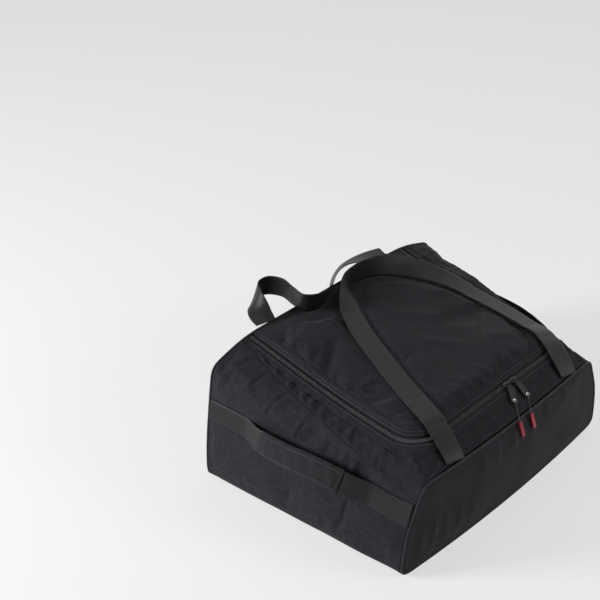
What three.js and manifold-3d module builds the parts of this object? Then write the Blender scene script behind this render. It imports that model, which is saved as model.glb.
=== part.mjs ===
// A wedge-shaped travel bag for a car roof box, empty inside and zipped shut, standing on its base.
// X runs from the tall back panel to the low nose panel, Y across the bag, Z up; millimetres.
// The bag's own datum is the foot of the back seam on the middle plane. The last lines move the
// whole bag so that the origin lies under the middle of its bounding box.
import * as THREE from 'three';
import { mergeVertices } from 'three/addons/utils/BufferGeometryUtils.js';
import Module from 'manifold-3d';

const wasm = await Module();
wasm.setup();

// Bag body: outer sizes of the sewn shell
const BAG_LENGTH = 505;
const BACK = {
  baseHalf: 390, sideHalf: 386, sideHeight: 100, upperHalf: 375, upperHeight: 190,
  ridgeHalf: 363, ridgeHeight: 277, shoulderHalf: 262, topHeight: 307,
};
const NOSE = {
  baseHalf: 352, sideHalf: 338, sideHeight: 108, upperHalf: 313, upperHeight: 160,
  ridgeHalf: 294, ridgeHeight: 204, shoulderHalf: 228, topHeight: 205,
};
const BOTTOM_ROUNDING = 46;
const RIDGE_ROUNDING = 38;
const SIDE_FULLNESS = 9;
const TOP_CROWN = 14;
const CROWN_END = 0.9;
const BROW_HEIGHT = 68;
const BROW_RISE_POWER = 4;
const BROW_FALL_POWER = 9;
const NOSE_BOW = 15;
const BOW_START = 0.925;
const BACK_BULGE = 10;
const NOSE_BULGE = 22;
const PANEL_THICKNESS = 2.6;
const BASE_THICKNESS = 3.2;

// Seams and the piping cords in the two end seams
const SEAM_GAP = 0.5;
const PIPING_RADIUS = 2.6;
const PIPING_INSET = 0.8;
const PIPING_FOOT = 0.2;
const FOLD_SEAM_BACK = 7.8;
const FOLD_SEAM_NOSE = 4.78;
const FOLD_SEAM_BEND = 1.2;
const PUCKER_HEIGHT = 3.2;
const PUCKER_LENGTH = 43;

// Zip: a U of coil chain between two tapes, under the hems of band and lid
const ZIP_LEG_HALF = 253;
const ZIP_NOSE_SETBACK = 47;
const ZIP_CORNER_RADIUS = 65;
const CHAIN_HALF_WIDTH = 3.6;
const CHAIN_SPLIT = 0.4;
const CHAIN_HEIGHT = 2.6;
const CHAIN_TOP = -0.4;
const TAPE_THICKNESS = 0.9;
const TAPE_REACH = 17;
const HEM_REACH = 9.5;
const LAYER_GAP = 0.6;
const LID_PUFF = 9;
const LID_PUFF_RUN = 13;

// Webbing carry handles and padded side handles
const WEBBING_WIDTH = 50;
const WEBBING_THICKNESS = 1.8;
const WEBBING_LIFT = 0.7;
const HANDLE_ROOT_HALF = 200;
const SIDE_WEBBING_BACK_Z = 178;
const SIDE_WEBBING_GRIP_Z = 170;
const SIDE_WEBBING_NOSE_Z = 142;
const GRIP_START = 158;
const GRIP_END = 352;
const GRIP_PADDING = 4.4;
const GRIP_HEM = 1.4;
const GRIP_THINNING = 0.65;
const GRIP_CLEARANCE = 0.55;
const GRIP_STANDOFF = 26;
const GRIP_RUN_UP = 62;

// Zip sliders and what hangs on them
const SLIDER_NEAR_Y = 44;
const SLIDER_FAR_Y = 66;
const PULL_NEAR_YAW = -36;
const PULL_FAR_YAW = -4;
const SLIDER_LENGTH = 17;
const SLIDER_WALL = 1.5;
const SLIDER_CLEARANCE = 0.35;
const SLIDER_EDGE = 0.6;
const BRIDGE_SPAN = 11;
const BRIDGE_THICKNESS = 1.4;
const BRIDGE_WIDTH = 2.2;
const BRIDGE_POST = 1.5;
const BRIDGE_CORNER = 1.2;
const RING_RADIUS = 4;
const RING_WIRE = 0.8;
const RING_PLAY = 0.5;
const RING_RISE = 0.4;
const TAB_WIDTH = 15;
const TAB_LENGTH = 48;
const TAB_THICKNESS = 2;
const TAB_CORNER = 3;
const TAB_NECK_HALF = 3.1;
const TAB_NECK_END = 4;
const TAB_SHOULDER_END = 11;
const TAB_HOLE = 1.6;
const TAB_HOLE_INSET = 2.8;
const EYELET_RADIUS = 3.7;
const EYELET_BARREL = 2.6;
const EYELET_BORE = 1.7;
const EYELET_LIP = 0.56;
const EYELET_PLAY = 0.3;
const EYELET_INSET = 6;
const CORD_RADIUS = 0.9;
const TAG_WIDTH = 10;
const TAG_LENGTH = 46;
const TAG_THICKNESS = 3;
const TAG_CORNER = 3;
const TAG_AHEAD = 7.5;
const TAG_ASIDE = 23;
const TAG_SLANT = 0.34;
const TAG_LEAN = 0.08;
const REST_GAP = 0.5;

// Mesh fineness
const SHELL_STEPS_X = 14;
const END_PANEL_STEPS = 10;
const LEG_STEPS = 36;
const CORNER_STEPS = 6;
const NOSE_LEG_STEPS = 14;
const CHAIN_LEG_STEPS = 14;
const CHAIN_NOSE_STEPS = 8;

const CONTROL_COUNT = 12;
const TOP_CENTRE = CONTROL_COUNT - 1;
const RIDGE_KNOT = 6;

const mix = (a, b, t) => a + (b - a) * t;
const clamp01 = (t) => Math.min(1, Math.max(0, t));
const smooth = (t) => clamp01(t) ** 2 * (3 - 2 * clamp01(t));

const finish = (colour, roughness, metalness = 0) => new THREE.MeshStandardMaterial({
  color: colour, roughness, metalness,
});
const shellCloth = finish(0x1b1b1f, 0.85);
const pipingCloth = finish(0x202024, 0.7);
const zipTapeCloth = finish(0x18181b, 0.8);
const coilNylon = finish(0x141416, 0.45);
const webbing = finish(0x232327, 0.6);
const blackMetal = finish(0x1c1c1e, 0.35, 0.8);
const brightMetal = finish(0x8d8f92, 0.3, 1);
const tabRubber = finish(0x1a1a1c, 0.6);
const cordNylon = finish(0x161618, 0.7);
const redRubber = finish(0xb01524, 0.5);

// Cross-section of the shell: a cubic B-spline through twelve control points on the near half,
// from the base seam round the bottom corner, up the side, over the ridge to the top centre.
function toward(from, to, distance) {
  const run = Math.hypot(to[0] - from[0], to[1] - from[1]);
  return [from[0] + (to[0] - from[0]) * distance / run, from[1] + (to[1] - from[1]) * distance / run];
}

function sectionControls(u) {
  const at = (key) => mix(BACK[key], NOSE[key], u);
  const full = SIDE_FULLNESS * Math.sin(Math.PI * clamp01(u));
  const brow = BROW_HEIGHT * u ** BROW_RISE_POWER * (1 - clamp01(u) ** BROW_FALL_POWER);
  const crown = TOP_CROWN * Math.sin(Math.PI * clamp01(u / CROWN_END));
  const top = at('topHeight') + brow;
  const foot = [at('baseHalf'), 0];
  const side = [at('sideHalf') + full, at('sideHeight')];
  const upper = [at('upperHalf') + full, at('upperHeight')];
  const ridge = [at('ridgeHalf'), at('ridgeHeight')];
  const shoulder = [at('shoulderHalf'), top];
  return [
    [foot[0] - BOTTOM_ROUNDING, 0], foot, toward(foot, side, BOTTOM_ROUNDING),
    side, upper, toward(ridge, upper, RIDGE_ROUNDING), ridge,
    toward(ridge, shoulder, RIDGE_ROUNDING), shoulder,
    [shoulder[0] * 0.72, top + crown * 0.45], [shoulder[0] * 0.36, top + crown], [0, top + crown],
  ];
}

const controlCache = new Map();
function controlsAt(u) {
  const key = u.toFixed(6);
  if (!controlCache.has(key)) controlCache.set(key, sectionControls(u));
  return controlCache.get(key);
}

function sectionPoint(u, s) {
  const controls = controlsAt(u);
  const control = (k) => {
    if (k < 0) return [2 * controls[0][0] - controls[1][0], 2 * controls[0][1] - controls[1][1]];
    if (k >= CONTROL_COUNT) return [-controls[2 * TOP_CENTRE - k][0], controls[2 * TOP_CENTRE - k][1]];
    return controls[k];
  };
  const k = Math.min(TOP_CENTRE - 1, Math.max(0, Math.floor(s)));
  const t = s - k;
  const weights = [(1 - t) ** 3, 3 * t ** 3 - 6 * t ** 2 + 4, -3 * t ** 3 + 3 * t ** 2 + 3 * t + 1, t ** 3];
  const point = [0, 0];
  weights.forEach((weight, i) => {
    const [y, z] = control(k - 1 + i);
    point[0] += weight * y / 6;
    point[1] += weight * z / 6;
  });
  return point;
}

// The nose seam bows outwards at its middle, so the last stretch of every lengthwise line is longer
function xAt(u, y) {
  const halfWidth = mix(BACK.baseHalf, NOSE.baseHalf, u);
  return u * BAG_LENGTH + NOSE_BOW * (1 - (y / halfWidth) ** 2) * smooth((u - BOW_START) / (1 - BOW_START));
}

// Outer surface of the wrap: u from back to nose, s from the near base seam (0) over the top to the
// far base seam (twice TOP_CENTRE)
function wrapPoint(u, s) {
  const far = s > TOP_CENTRE;
  const [halfY, z] = sectionPoint(u, far ? 2 * TOP_CENTRE - s : s);
  return new THREE.Vector3(xAt(u, halfY), far ? halfY : -halfY, z);
}

function wrapNormal(u, s) {
  const stepU = 0.002;
  const stepS = 0.02;
  const alongX = wrapPoint(u + stepU, s).sub(wrapPoint(u - stepU, s));
  const across = wrapPoint(u, Math.min(2 * TOP_CENTRE, s + stepS)).sub(wrapPoint(u, Math.max(0, s - stepS)));
  return alongX.cross(across).normalize();
}

const raised = (u, s, height) => wrapPoint(u, s).addScaledVector(wrapNormal(u, s), height);

// Finds the (u, s) of a point of the top surface from its place in plan
function fromPlan(x, y) {
  let low = 0;
  let high = 1.2;
  for (let i = 0; i < 40; i += 1) {
    const middle = (low + high) / 2;
    if (xAt(middle, y) < x) low = middle;
    else high = middle;
  }
  const u = (low + high) / 2;
  let sideEnd = RIDGE_KNOT - 0.5;
  let topEnd = TOP_CENTRE;
  for (let i = 0; i < 40; i += 1) {
    const middle = (sideEnd + topEnd) / 2;
    if (sectionPoint(u, middle)[0] > Math.abs(y)) sideEnd = middle;
    else topEnd = middle;
  }
  const s = (sideEnd + topEnd) / 2;
  return [u, y > 0 ? 2 * TOP_CENTRE - s : s];
}

// Finds the s of a point of the near side from its height
function fromHeight(u, z) {
  let low = 1;
  let high = RIDGE_KNOT;
  for (let i = 0; i < 40; i += 1) {
    const middle = (low + high) / 2;
    if (sectionPoint(u, middle)[1] < z) low = middle;
    else high = middle;
  }
  return (low + high) / 2;
}

// Mesh builders
function meshFrom(name, material, positions, triangles) {
  let volume = 0;
  const [a, b, c] = [new THREE.Vector3(), new THREE.Vector3(), new THREE.Vector3()];
  triangles.forEach(([i, j, k]) => {
    volume += a.copy(positions[i]).dot(b.copy(positions[j]).cross(c.copy(positions[k])));
  });
  const ordered = volume < 0 ? triangles.map(([i, j, k]) => [i, k, j]) : triangles;
  const geometry = new THREE.BufferGeometry();
  geometry.setAttribute('position', new THREE.Float32BufferAttribute(positions.flatMap((p) => p.toArray()), 3));
  geometry.setIndex(ordered.flat());
  geometry.computeVertexNormals();
  const mesh = new THREE.Mesh(geometry, material);
  mesh.name = name;
  return mesh;
}

// A wall between an outer and an inner grid of the same size. With ringed rows, each row closes on
// itself; with a looped grid, the last row joins the first.
function wall(name, material, outer, inner, { ringed = false, looped = false } = {}) {
  const rows = outer.length;
  const columns = outer[0].length;
  const positions = [...outer.flat(), ...inner.flat()];
  const index = (layer, i, j) => layer * rows * columns + (i % rows) * columns + (j % columns);
  const triangles = [];
  const quad = (a, b, c, d) => triangles.push([a, b, c], [a, c, d]);
  const lastRow = looped ? rows : rows - 1;
  const lastColumn = ringed ? columns : columns - 1;
  for (let i = 0; i < lastRow; i += 1) {
    for (let j = 0; j < lastColumn; j += 1) {
      quad(index(0, i, j), index(0, i + 1, j), index(0, i + 1, j + 1), index(0, i, j + 1));
      quad(index(1, i, j), index(1, i, j + 1), index(1, i + 1, j + 1), index(1, i + 1, j));
    }
    if (!ringed) {
      quad(index(0, i, 0), index(1, i, 0), index(1, i + 1, 0), index(0, i + 1, 0));
      quad(index(0, i, columns - 1), index(0, i + 1, columns - 1), index(1, i + 1, columns - 1), index(1, i, columns - 1));
    }
  }
  if (!looped) {
    for (let j = 0; j < lastColumn; j += 1) {
      quad(index(0, 0, j), index(0, 0, j + 1), index(1, 0, j + 1), index(1, 0, j));
      quad(index(0, rows - 1, j), index(1, rows - 1, j), index(1, rows - 1, j + 1), index(0, rows - 1, j + 1));
    }
  }
  return meshFrom(name, material, positions, triangles);
}

// A solid through rings of points, capped at its ends or closed on itself
function loft(name, material, rings, looped = false) {
  const size = rings[0].length;
  const positions = rings.flat();
  const triangles = [];
  const index = (i, j) => (i % rings.length) * size + (j % size);
  const last = looped ? rings.length : rings.length - 1;
  for (let i = 0; i < last; i += 1) {
    for (let j = 0; j < size; j += 1) {
      triangles.push([index(i, j), index(i + 1, j), index(i + 1, j + 1)]);
      triangles.push([index(i, j), index(i + 1, j + 1), index(i, j + 1)]);
    }
  }
  if (!looped) {
    for (let j = 1; j < size - 1; j += 1) {
      triangles.push([index(0, 0), index(0, j), index(0, j + 1)]);
      triangles.push([index(rings.length - 1, 0), index(rings.length - 1, j + 1), index(rings.length - 1, j)]);
    }
  }
  return meshFrom(name, material, positions, triangles);
}

const grid = (rows, columns, point) => Array.from({ length: rows + 1 }, (_, i) => (
  Array.from({ length: columns + 1 }, (__, j) => point(i / rows, j / columns, i, j))
));

const bag = new THREE.Group();

// The two end seams cut the wrap this far from their planes, for the piping
const SEAM_SETBACK = PIPING_RADIUS + SEAM_GAP;
const wrapU = (t) => mix(SEAM_SETBACK / BAG_LENGTH, 1 - SEAM_SETBACK / BAG_LENGTH, t);
const zipNoseX = BAG_LENGTH - ZIP_NOSE_SETBACK;

// The gathered diagonal seam, from the shoulder at the back down to the side of the nose
const foldSeam = (u) => mix(FOLD_SEAM_BACK, FOLD_SEAM_NOSE, u ** FOLD_SEAM_BEND);

// A step in s that is so many millimetres long
function stepInS(u, s, distance) {
  const probe = 0.05;
  return distance * probe / wrapPoint(u, s + probe).distanceTo(wrapPoint(u, s));
}

function basePanel() {
  const half = (u) => mix(BACK.baseHalf, NOSE.baseHalf, u) - BOTTOM_ROUNDING - SEAM_GAP;
  const surface = (height) => grid(SHELL_STEPS_X, 2, (t, v) => {
    const u = wrapU(t);
    const y = half(u) * (2 * v - 1);
    return new THREE.Vector3(xAt(u, y), y, height);
  });
  bag.add(wall('base_panel', shellCloth, surface(BASE_THICKNESS), surface(0)));
}

// End panels of the wrap, from the base seam over the ridge to the gathered seam
function endPanel(name, far) {
  const surface = (height) => grid(SHELL_STEPS_X, END_PANEL_STEPS, (t, v) => {
    const u = wrapU(t);
    const top = foldSeam(u);
    const s = mix(stepInS(u, 0, SEAM_GAP / 2), top - stepInS(u, top, SEAM_GAP / 2), v);
    const across = far ? 2 * TOP_CENTRE - s : s;
    return raised(u, across, height);
  });
  bag.add(wall(name, shellCloth, surface(0), surface(-PANEL_THICKNESS)));
}

// Track of the zip in plan: back end of the near leg, corner, nose leg, corner, far leg
function trackStations(legSteps, noseSteps) {
  const cornerX = zipNoseX - ZIP_CORNER_RADIUS;
  const cornerY = ZIP_LEG_HALF - ZIP_CORNER_RADIUS;
  const half = [];
  for (let i = 0; i < legSteps; i += 1) {
    half.push({ x: mix(SEAM_SETBACK, cornerX, i / legSteps), y: -cornerY, turn: 0 });
  }
  for (let i = 0; i < CORNER_STEPS; i += 1) {
    half.push({ x: cornerX, y: -cornerY, turn: i / CORNER_STEPS });
  }
  for (let i = 0; i < noseSteps / 2; i += 1) {
    half.push({ x: cornerX, y: mix(-cornerY, 0, 2 * i / noseSteps), turn: 1 });
  }
  const mirrored = half.map((station) => ({ ...station, y: -station.y, far: true })).reverse();
  return [...half, { x: cornerX, y: 0, turn: 1 }, ...mirrored];
}
const track = trackStations(LEG_STEPS, NOSE_LEG_STEPS);
const chainTrack = trackStations(CHAIN_LEG_STEPS, CHAIN_NOSE_STEPS);

// A point beside the track in plan; a positive distance lies outside the U
function besideTrack({ x, y, turn, far }, distance) {
  const radius = ZIP_CORNER_RADIUS + distance;
  const angle = turn * Math.PI / 2;
  const side = far ? 1 : -1;
  return [x + radius * Math.sin(angle), y + side * radius * Math.cos(angle)];
}

const onTrack = (station, distance, height) => {
  const [x, y] = besideTrack(station, distance);
  return raised(...fromPlan(x, y), height);
};

const strip = (from, to, height) => chainTrack.map((station) => (
  [onTrack(station, from, height), onTrack(station, to, height)]
));

// The band between zip and gathered seam; its outer edge follows that seam and then the nose seam
function bandEdge(index) {
  const half = Math.floor(track.length / 2);
  const near = index <= half ? index : track.length - 1 - index;
  const seamSteps = LEG_STEPS + Math.ceil(CORNER_STEPS / 2);
  const endU = wrapU(1);
  let u = endU;
  let s;
  if (near <= seamSteps) {
    u = wrapU(near / seamSteps);
    s = foldSeam(u) + stepInS(u, foldSeam(u), SEAM_GAP / 2);
  } else {
    const start = foldSeam(endU) + stepInS(endU, foldSeam(endU), SEAM_GAP / 2);
    s = mix(start, TOP_CENTRE, (near - seamSteps) / (half - seamSteps));
  }
  return [u, index <= half ? s : 2 * TOP_CENTRE - s];
}

// Its first column is the hem, which keeps its distance from the track all along the tape under it
function topBand() {
  const columns = 3;
  const surface = (height) => track.map((station, i) => {
    const hemBack = fromPlan(...besideTrack(station, TAPE_REACH + 1.5));
    const outer = bandEdge(i);
    const pucker = PUCKER_HEIGHT * (1 - Math.cos(2 * Math.PI * station.x / PUCKER_LENGTH)) / 2 * (1 - station.turn);
    const rest = Array.from({ length: columns + 1 }, (_, j) => {
      const t = j / columns;
      const fold = j === 0 || j === columns ? 0 : pucker;
      return raised(mix(hemBack[0], outer[0], t), mix(hemBack[1], outer[1], t), height + fold);
    });
    return [onTrack(station, HEM_REACH, height), ...rest];
  });
  bag.add(wall('top_band', shellCloth, surface(0), surface(-PANEL_THICKNESS)));
}

// How far the stuffed lid stands above the line of the band, from nothing at its hem
function lidPuff(x, y) {
  const cornerX = zipNoseX - ZIP_CORNER_RADIUS;
  const cornerY = ZIP_LEG_HALF - ZIP_CORNER_RADIUS;
  const hemRadius = ZIP_CORNER_RADIUS - HEM_REACH;
  const inCorner = x > cornerX && Math.abs(y) > cornerY;
  const fromArc = hemRadius - Math.hypot(x - cornerX, Math.abs(y) - cornerY);
  const fromSides = Math.min(cornerY + hemRadius - Math.abs(y), cornerX + hemRadius - x);
  const inside = Math.max(0, inCorner ? fromArc : fromSides);
  return LID_PUFF * (1 - Math.exp(-inside / LID_PUFF_RUN)) * smooth(x / 60);
}

// The lid is a U of cloth inside the zip, sewn into the back seam that is its hinge
function lidFlap() {
  const cornerX = zipNoseX - ZIP_CORNER_RADIUS;
  const cornerY = ZIP_LEG_HALF - ZIP_CORNER_RADIUS;
  const hemRadius = ZIP_CORNER_RADIUS - HEM_REACH;
  const columns = 18;
  const straightRows = 10;
  const rowEnds = [];
  for (let i = 0; i < straightRows; i += 1) {
    rowEnds.push([mix(SEAM_SETBACK, cornerX, i / straightRows), cornerY + hemRadius]);
  }
  for (let i = 0; i <= CORNER_STEPS; i += 1) {
    const angle = i / CORNER_STEPS * Math.PI / 2;
    rowEnds.push([cornerX + hemRadius * Math.sin(angle), cornerY + hemRadius * Math.cos(angle)]);
  }
  // Columns crowd towards the two hems, where the lid rises
  const share = (j) => Math.sin((j / columns - 0.5) * Math.PI * 0.9) / Math.sin(Math.PI * 0.45);
  const surface = (height) => rowEnds.map(([x, half]) => Array.from({ length: columns + 1 }, (_, j) => (
    raised(...fromPlan(x, half * share(j)), height + lidPuff(x, half * share(j)))
  )));
  bag.add(wall('lid_flap', shellCloth, surface(0), surface(-PANEL_THICKNESS)));
}

function zip() {
  const tapeTop = -PANEL_THICKNESS - LAYER_GAP;
  const tapeEdge = CHAIN_HALF_WIDTH + LAYER_GAP;
  const chainFoot = CHAIN_TOP - CHAIN_HEIGHT;
  const tape = (name, side) => bag.add(wall(name, zipTapeCloth,
    strip(side * tapeEdge, side * TAPE_REACH, tapeTop),
    strip(side * tapeEdge, side * TAPE_REACH, tapeTop - TAPE_THICKNESS)));
  tape('zip_tape_outer', 1);
  tape('zip_tape_inner', -1);
  // Each row of the chain is a ridge, full height beside the split and lower at its outer edge
  const row = (name, side) => {
    const rings = chainTrack.map((station) => [
      [CHAIN_SPLIT / 2, chainFoot], [CHAIN_HALF_WIDTH, chainFoot],
      [CHAIN_HALF_WIDTH, CHAIN_TOP - CHAIN_HEIGHT / 3], [CHAIN_SPLIT / 2, CHAIN_TOP],
    ].map(([distance, height]) => onTrack(station, side * distance, height)));
    bag.add(loft(name, coilNylon, rings));
  };
  row('zip_chain_outer', 1);
  row('zip_chain_inner', -1);
}

// Closed line of an end seam: over the wrap, and back along the base
function seamLoop(u, inset, footHeight) {
  const line = [];
  const wrapSteps = 40;
  for (let i = 0; i <= wrapSteps; i += 1) {
    const s = 2 * TOP_CENTRE * i / wrapSteps;
    const up = smooth(Math.min(s, 2 * TOP_CENTRE - s) / 3);
    line.push(raised(u, s, -mix(footHeight, inset, up)));
  }
  const baseSteps = 6;
  const [first, last] = [line[0], line[line.length - 1]];
  for (let i = 1; i < baseSteps; i += 1) {
    const y = mix(last.y, first.y, i / baseSteps);
    line.push(new THREE.Vector3(xAt(u, y), y, footHeight));
  }
  return line;
}

function piping(name, u) {
  const line = seamLoop(u, PIPING_INSET, PIPING_RADIUS + PIPING_FOOT);
  const sides = 5;
  const rings = line.map((point, i) => {
    const tangent = line[(i + 1) % line.length].clone().sub(line[(i + line.length - 1) % line.length]).normalize();
    const outward = new THREE.Vector3(1, 0, 0).addScaledVector(tangent, -tangent.x).normalize();
    const upward = tangent.clone().cross(outward);
    return Array.from({ length: sides }, (_, k) => {
      const angle = 2 * Math.PI * k / sides;
      return point.clone()
        .addScaledVector(outward, PIPING_RADIUS * Math.cos(angle))
        .addScaledVector(upward, PIPING_RADIUS * Math.sin(angle));
    });
  });
  bag.add(loft(name, pipingCloth, rings, true));
}

// The back and nose faces are crowned panels inside the piping loops
function facePanel(name, u, bulge, direction) {
  const inset = PIPING_INSET + PIPING_RADIUS + SEAM_GAP;
  const rim = seamLoop(u, inset, 2 * PIPING_RADIUS + PIPING_FOOT + SEAM_GAP);
  const centre = new THREE.Vector3(u * BAG_LENGTH, 0, rim.reduce((sum, p) => Math.max(sum, p.z), 0) / 2);
  const rings = 3;
  const positions = [];
  const triangles = [];
  const layer = (shift) => {
    const start = positions.length;
    for (let i = 0; i < rings; i += 1) {
      const share = 1 - i / rings;
      rim.forEach((p) => {
        const point = centre.clone().lerp(p, share);
        point.x = mix(centre.x + direction * bulge, p.x, share ** 2) + shift;
        positions.push(point);
      });
    }
    positions.push(new THREE.Vector3(centre.x + direction * bulge + shift, 0, centre.z));
    return start;
  };
  const outer = layer(direction * PANEL_THICKNESS / 2);
  const inner = layer(-direction * PANEL_THICKNESS / 2);
  const count = rim.length;
  [outer, inner].forEach((start, side) => {
    for (let i = 0; i < rings; i += 1) {
      for (let j = 0; j < count; j += 1) {
        const a = start + i * count + j;
        const b = start + i * count + (j + 1) % count;
        const pole = start + rings * count;
        const c = i + 1 < rings ? b + count : pole;
        const d = i + 1 < rings ? a + count : pole;
        const faces = i + 1 < rings ? [[a, b, c], [a, c, d]] : [[a, b, pole]];
        faces.forEach((f) => triangles.push(side ? [f[0], f[2], f[1]] : f));
      }
    }
  });
  for (let j = 0; j < count; j += 1) {
    const next = (j + 1) % count;
    triangles.push([outer + j, inner + j, inner + next], [outer + j, inner + next, outer + next]);
  }
  bag.add(meshFrom(name, shellCloth, positions, triangles));
}

// A flat or hollow strip is a loft of sections, each with a centre, a width direction and a normal
const sectionRing = ({ centre, across, normal }, corners) => corners.map(([a, b]) => (
  centre.clone().addScaledVector(across, a).addScaledVector(normal, b)
));
const rectangle = (width, height) => [[-1, -1], [1, -1], [1, 1], [-1, 1]].map(([a, b]) => (
  [a * width / 2, b * height / 2]
));

function framesAlong(points, normals, rolls) {
  return points.map((centre, i) => {
    const ahead = points[Math.min(points.length - 1, i + 1)];
    const behind = points[Math.max(0, i - 1)];
    const tangent = ahead.clone().sub(behind).normalize();
    const across = normals[i].clone().cross(tangent).normalize().applyAxisAngle(tangent, rolls[i]);
    return { centre, across, normal: tangent.clone().cross(across) };
  });
}

// Top of the bag at a place in plan, with the lid's puff; behind the back seam it carries on level
function topAt(x, y) {
  const onBag = Math.max(x, SEAM_SETBACK);
  const [u, s] = fromPlan(onBag, y);
  const normal = wrapNormal(u, s);
  const point = wrapPoint(u, s).addScaledVector(normal, lidPuff(onBag, y));
  point.x += x - onBag;
  return { point, normal };
}

// A loose webbing loop over the top. Each row gives its place along the bag as a share of the
// reach, its place across as a share of the root's distance from the middle, the height of its
// underside above the bag, and the angle in degrees by which it stands up on its edge.
function carryHandle(name, reach, rows, steps) {
  const place = new THREE.CatmullRomCurve3(rows.map(([along, across]) => (
    new THREE.Vector3(along * reach, across * HANDLE_ROOT_HALF, 0)
  )));
  const stand = new THREE.CatmullRomCurve3(rows.map(([, , lift, roll]) => new THREE.Vector3(lift, roll, 0)));
  const points = [];
  const normals = [];
  const rolls = [];
  for (let i = 0; i <= steps; i += 1) {
    const plan = place.getPoint(i / steps);
    const { x: lift, y: degrees } = stand.getPoint(i / steps);
    const roll = THREE.MathUtils.degToRad(degrees);
    const { point, normal } = topAt(plan.x, plan.y);
    const edge = Math.abs(Math.sin(roll)) * WEBBING_WIDTH / 2 + WEBBING_THICKNESS / 2;
    points.push(point.addScaledVector(normal, WEBBING_LIFT + Math.max(0, lift) + edge));
    normals.push(normal);
    rolls.push(roll);
  }
  const corners = rectangle(WEBBING_WIDTH, WEBBING_THICKNESS);
  const rings = framesAlong(points, normals, rolls).map((frame) => sectionRing(frame, corners));
  bag.add(loft(name, webbing, rings));
}

function carryHandles() {
  const noseRoot = xAt(1, HANDLE_ROOT_HALF) - SEAM_SETBACK - REST_GAP;
  carryHandle('nose_carry_handle', noseRoot, [
    [1, -1, 0.6, 0], [0.93, -0.945, 3, 0], [0.872, -0.9, 6, 0], [0.805, -0.845, 4, 0], [0.665, -0.71, 1, 0],
    [0.495, -0.55, 0.6, 0], [0.332, -0.39, 0.6, 0], [0.211, -0.23, 1, 5], [0.141, -0.1, 2, 30],
    [0.086, 0.04, 2, 68], [0.059, 0.22, 2, 86], [0.067, 0.45, 2, 80], [0.117, 0.73, 2, 56], [0.219, 1, 5, 22],
    [0.371, 1.19, 9, 4], [0.567, 1.25, 11, 0], [0.733, 1.22, 11, 0], [0.841, 1.15, 11, 0],
    [0.923, 1.065, 6, 0], [1, 1, 0.6, 0],
  ], 60);
  carryHandle('back_carry_handle', HANDLE_ROOT_HALF, [
    [-0.005, -1, 2.6, 0], [-0.13, -0.975, 5, -22], [-0.28, -0.9, 8, -62], [-0.4, -0.76, 6, -86],
    [-0.39, -0.6, 5, -90], [-0.24, -0.52, 5, -88], [-0.05, -0.545, 1.6, -86], [0.14, -0.56, 0, -84],
    [0.24, -0.43, 0, -82], [0.21, -0.24, 1.5, -80], [0.09, -0.05, 4, -74], [-0.03, 0.2, 6, -56],
    [-0.09, 0.5, 6, -26], [-0.06, 0.8, 5.7, -6], [-0.01, 1, 3.7, 0],
  ], 56);
}

// Side handles: webbing from back seam to nose seam, standing off the panel inside a padded grip
function sideFrames(side, from, to, steps) {
  const points = [];
  const normals = [];
  for (let i = 0; i <= steps; i += 1) {
    const x = mix(from, to, i / steps);
    const u = x / BAG_LENGTH;
    const middle = (GRIP_START + GRIP_END) / 2;
    const height = x < middle
      ? mix(SIDE_WEBBING_BACK_Z, SIDE_WEBBING_GRIP_Z, smooth(x / middle))
      : mix(SIDE_WEBBING_GRIP_Z, SIDE_WEBBING_NOSE_Z, smooth((x - middle) / (BAG_LENGTH - middle)));
    const near = fromHeight(u, height);
    const s = side < 0 ? near : 2 * TOP_CENTRE - near;
    const rise = smooth((x - GRIP_START + GRIP_RUN_UP) / GRIP_RUN_UP);
    const fall = smooth((GRIP_END + GRIP_RUN_UP - x) / GRIP_RUN_UP);
    const arch = 0.72 + 0.28 * Math.sin(Math.PI * clamp01((x - GRIP_START) / (GRIP_END - GRIP_START)));
    const standoff = WEBBING_LIFT + WEBBING_THICKNESS / 2 + GRIP_STANDOFF * rise * fall * arch;
    const normal = wrapNormal(u, s);
    points.push(wrapPoint(u, s).addScaledVector(normal, standoff));
    normals.push(normal);
  }
  return framesAlong(points, normals, points.map(() => 0));
}

function sideHandle(label, side) {
  const start = SEAM_SETBACK + 1;
  const corners = rectangle(WEBBING_WIDTH, WEBBING_THICKNESS);
  const strap = sideFrames(side, start, BAG_LENGTH - start, 30).map((frame) => sectionRing(frame, corners));
  bag.add(loft(`${label}_side_webbing`, webbing, strap));
  // The hollow keeps the webbing's flat section; the padding makes the outside a fuller oval
  const halfWidth = WEBBING_WIDTH / 2 + GRIP_CLEARANCE;
  const halfDepth = WEBBING_THICKNESS / 2 + GRIP_CLEARANCE;
  const section = (hem, padding) => [1, 0.5, 0, -0.5, -1, -1, -0.5, 0, 0.5, 1].map((share, k) => [
    share * (halfWidth + hem),
    (k < 5 ? 1 : -1) * (halfDepth + padding * (1 - GRIP_THINNING * share ** 4)),
  ]);
  const frames = sideFrames(side, GRIP_START, GRIP_END, 9);
  const layer = (hem, padding) => frames.map((frame) => sectionRing(frame, section(hem, padding)));
  bag.add(wall(`${label}_grip`, shellCloth, layer(GRIP_HEM, GRIP_PADDING), layer(0, 0), { ringed: true }));
}

// Solids in a local frame: the shape's own x, y and depth run along the three given directions
function extruded(shape, depth, basis, origin, curveSegments = 4) {
  const geometry = new THREE.ExtrudeGeometry(shape, { depth, bevelEnabled: false, curveSegments });
  geometry.translate(0, 0, -depth / 2);
  return geometry.applyMatrix4(new THREE.Matrix4().makeBasis(...basis).setPosition(origin));
}

function solidOf(geometry) {
  const bare = geometry.clone();
  bare.deleteAttribute('normal');
  bare.deleteAttribute('uv');
  const merged = mergeVertices(bare, 1e-4);
  return new wasm.Manifold(new wasm.Mesh({
    numProp: 3,
    vertProperties: new Float32Array(merged.attributes.position.array),
    triVerts: new Uint32Array(merged.index.array),
  }));
}

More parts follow.
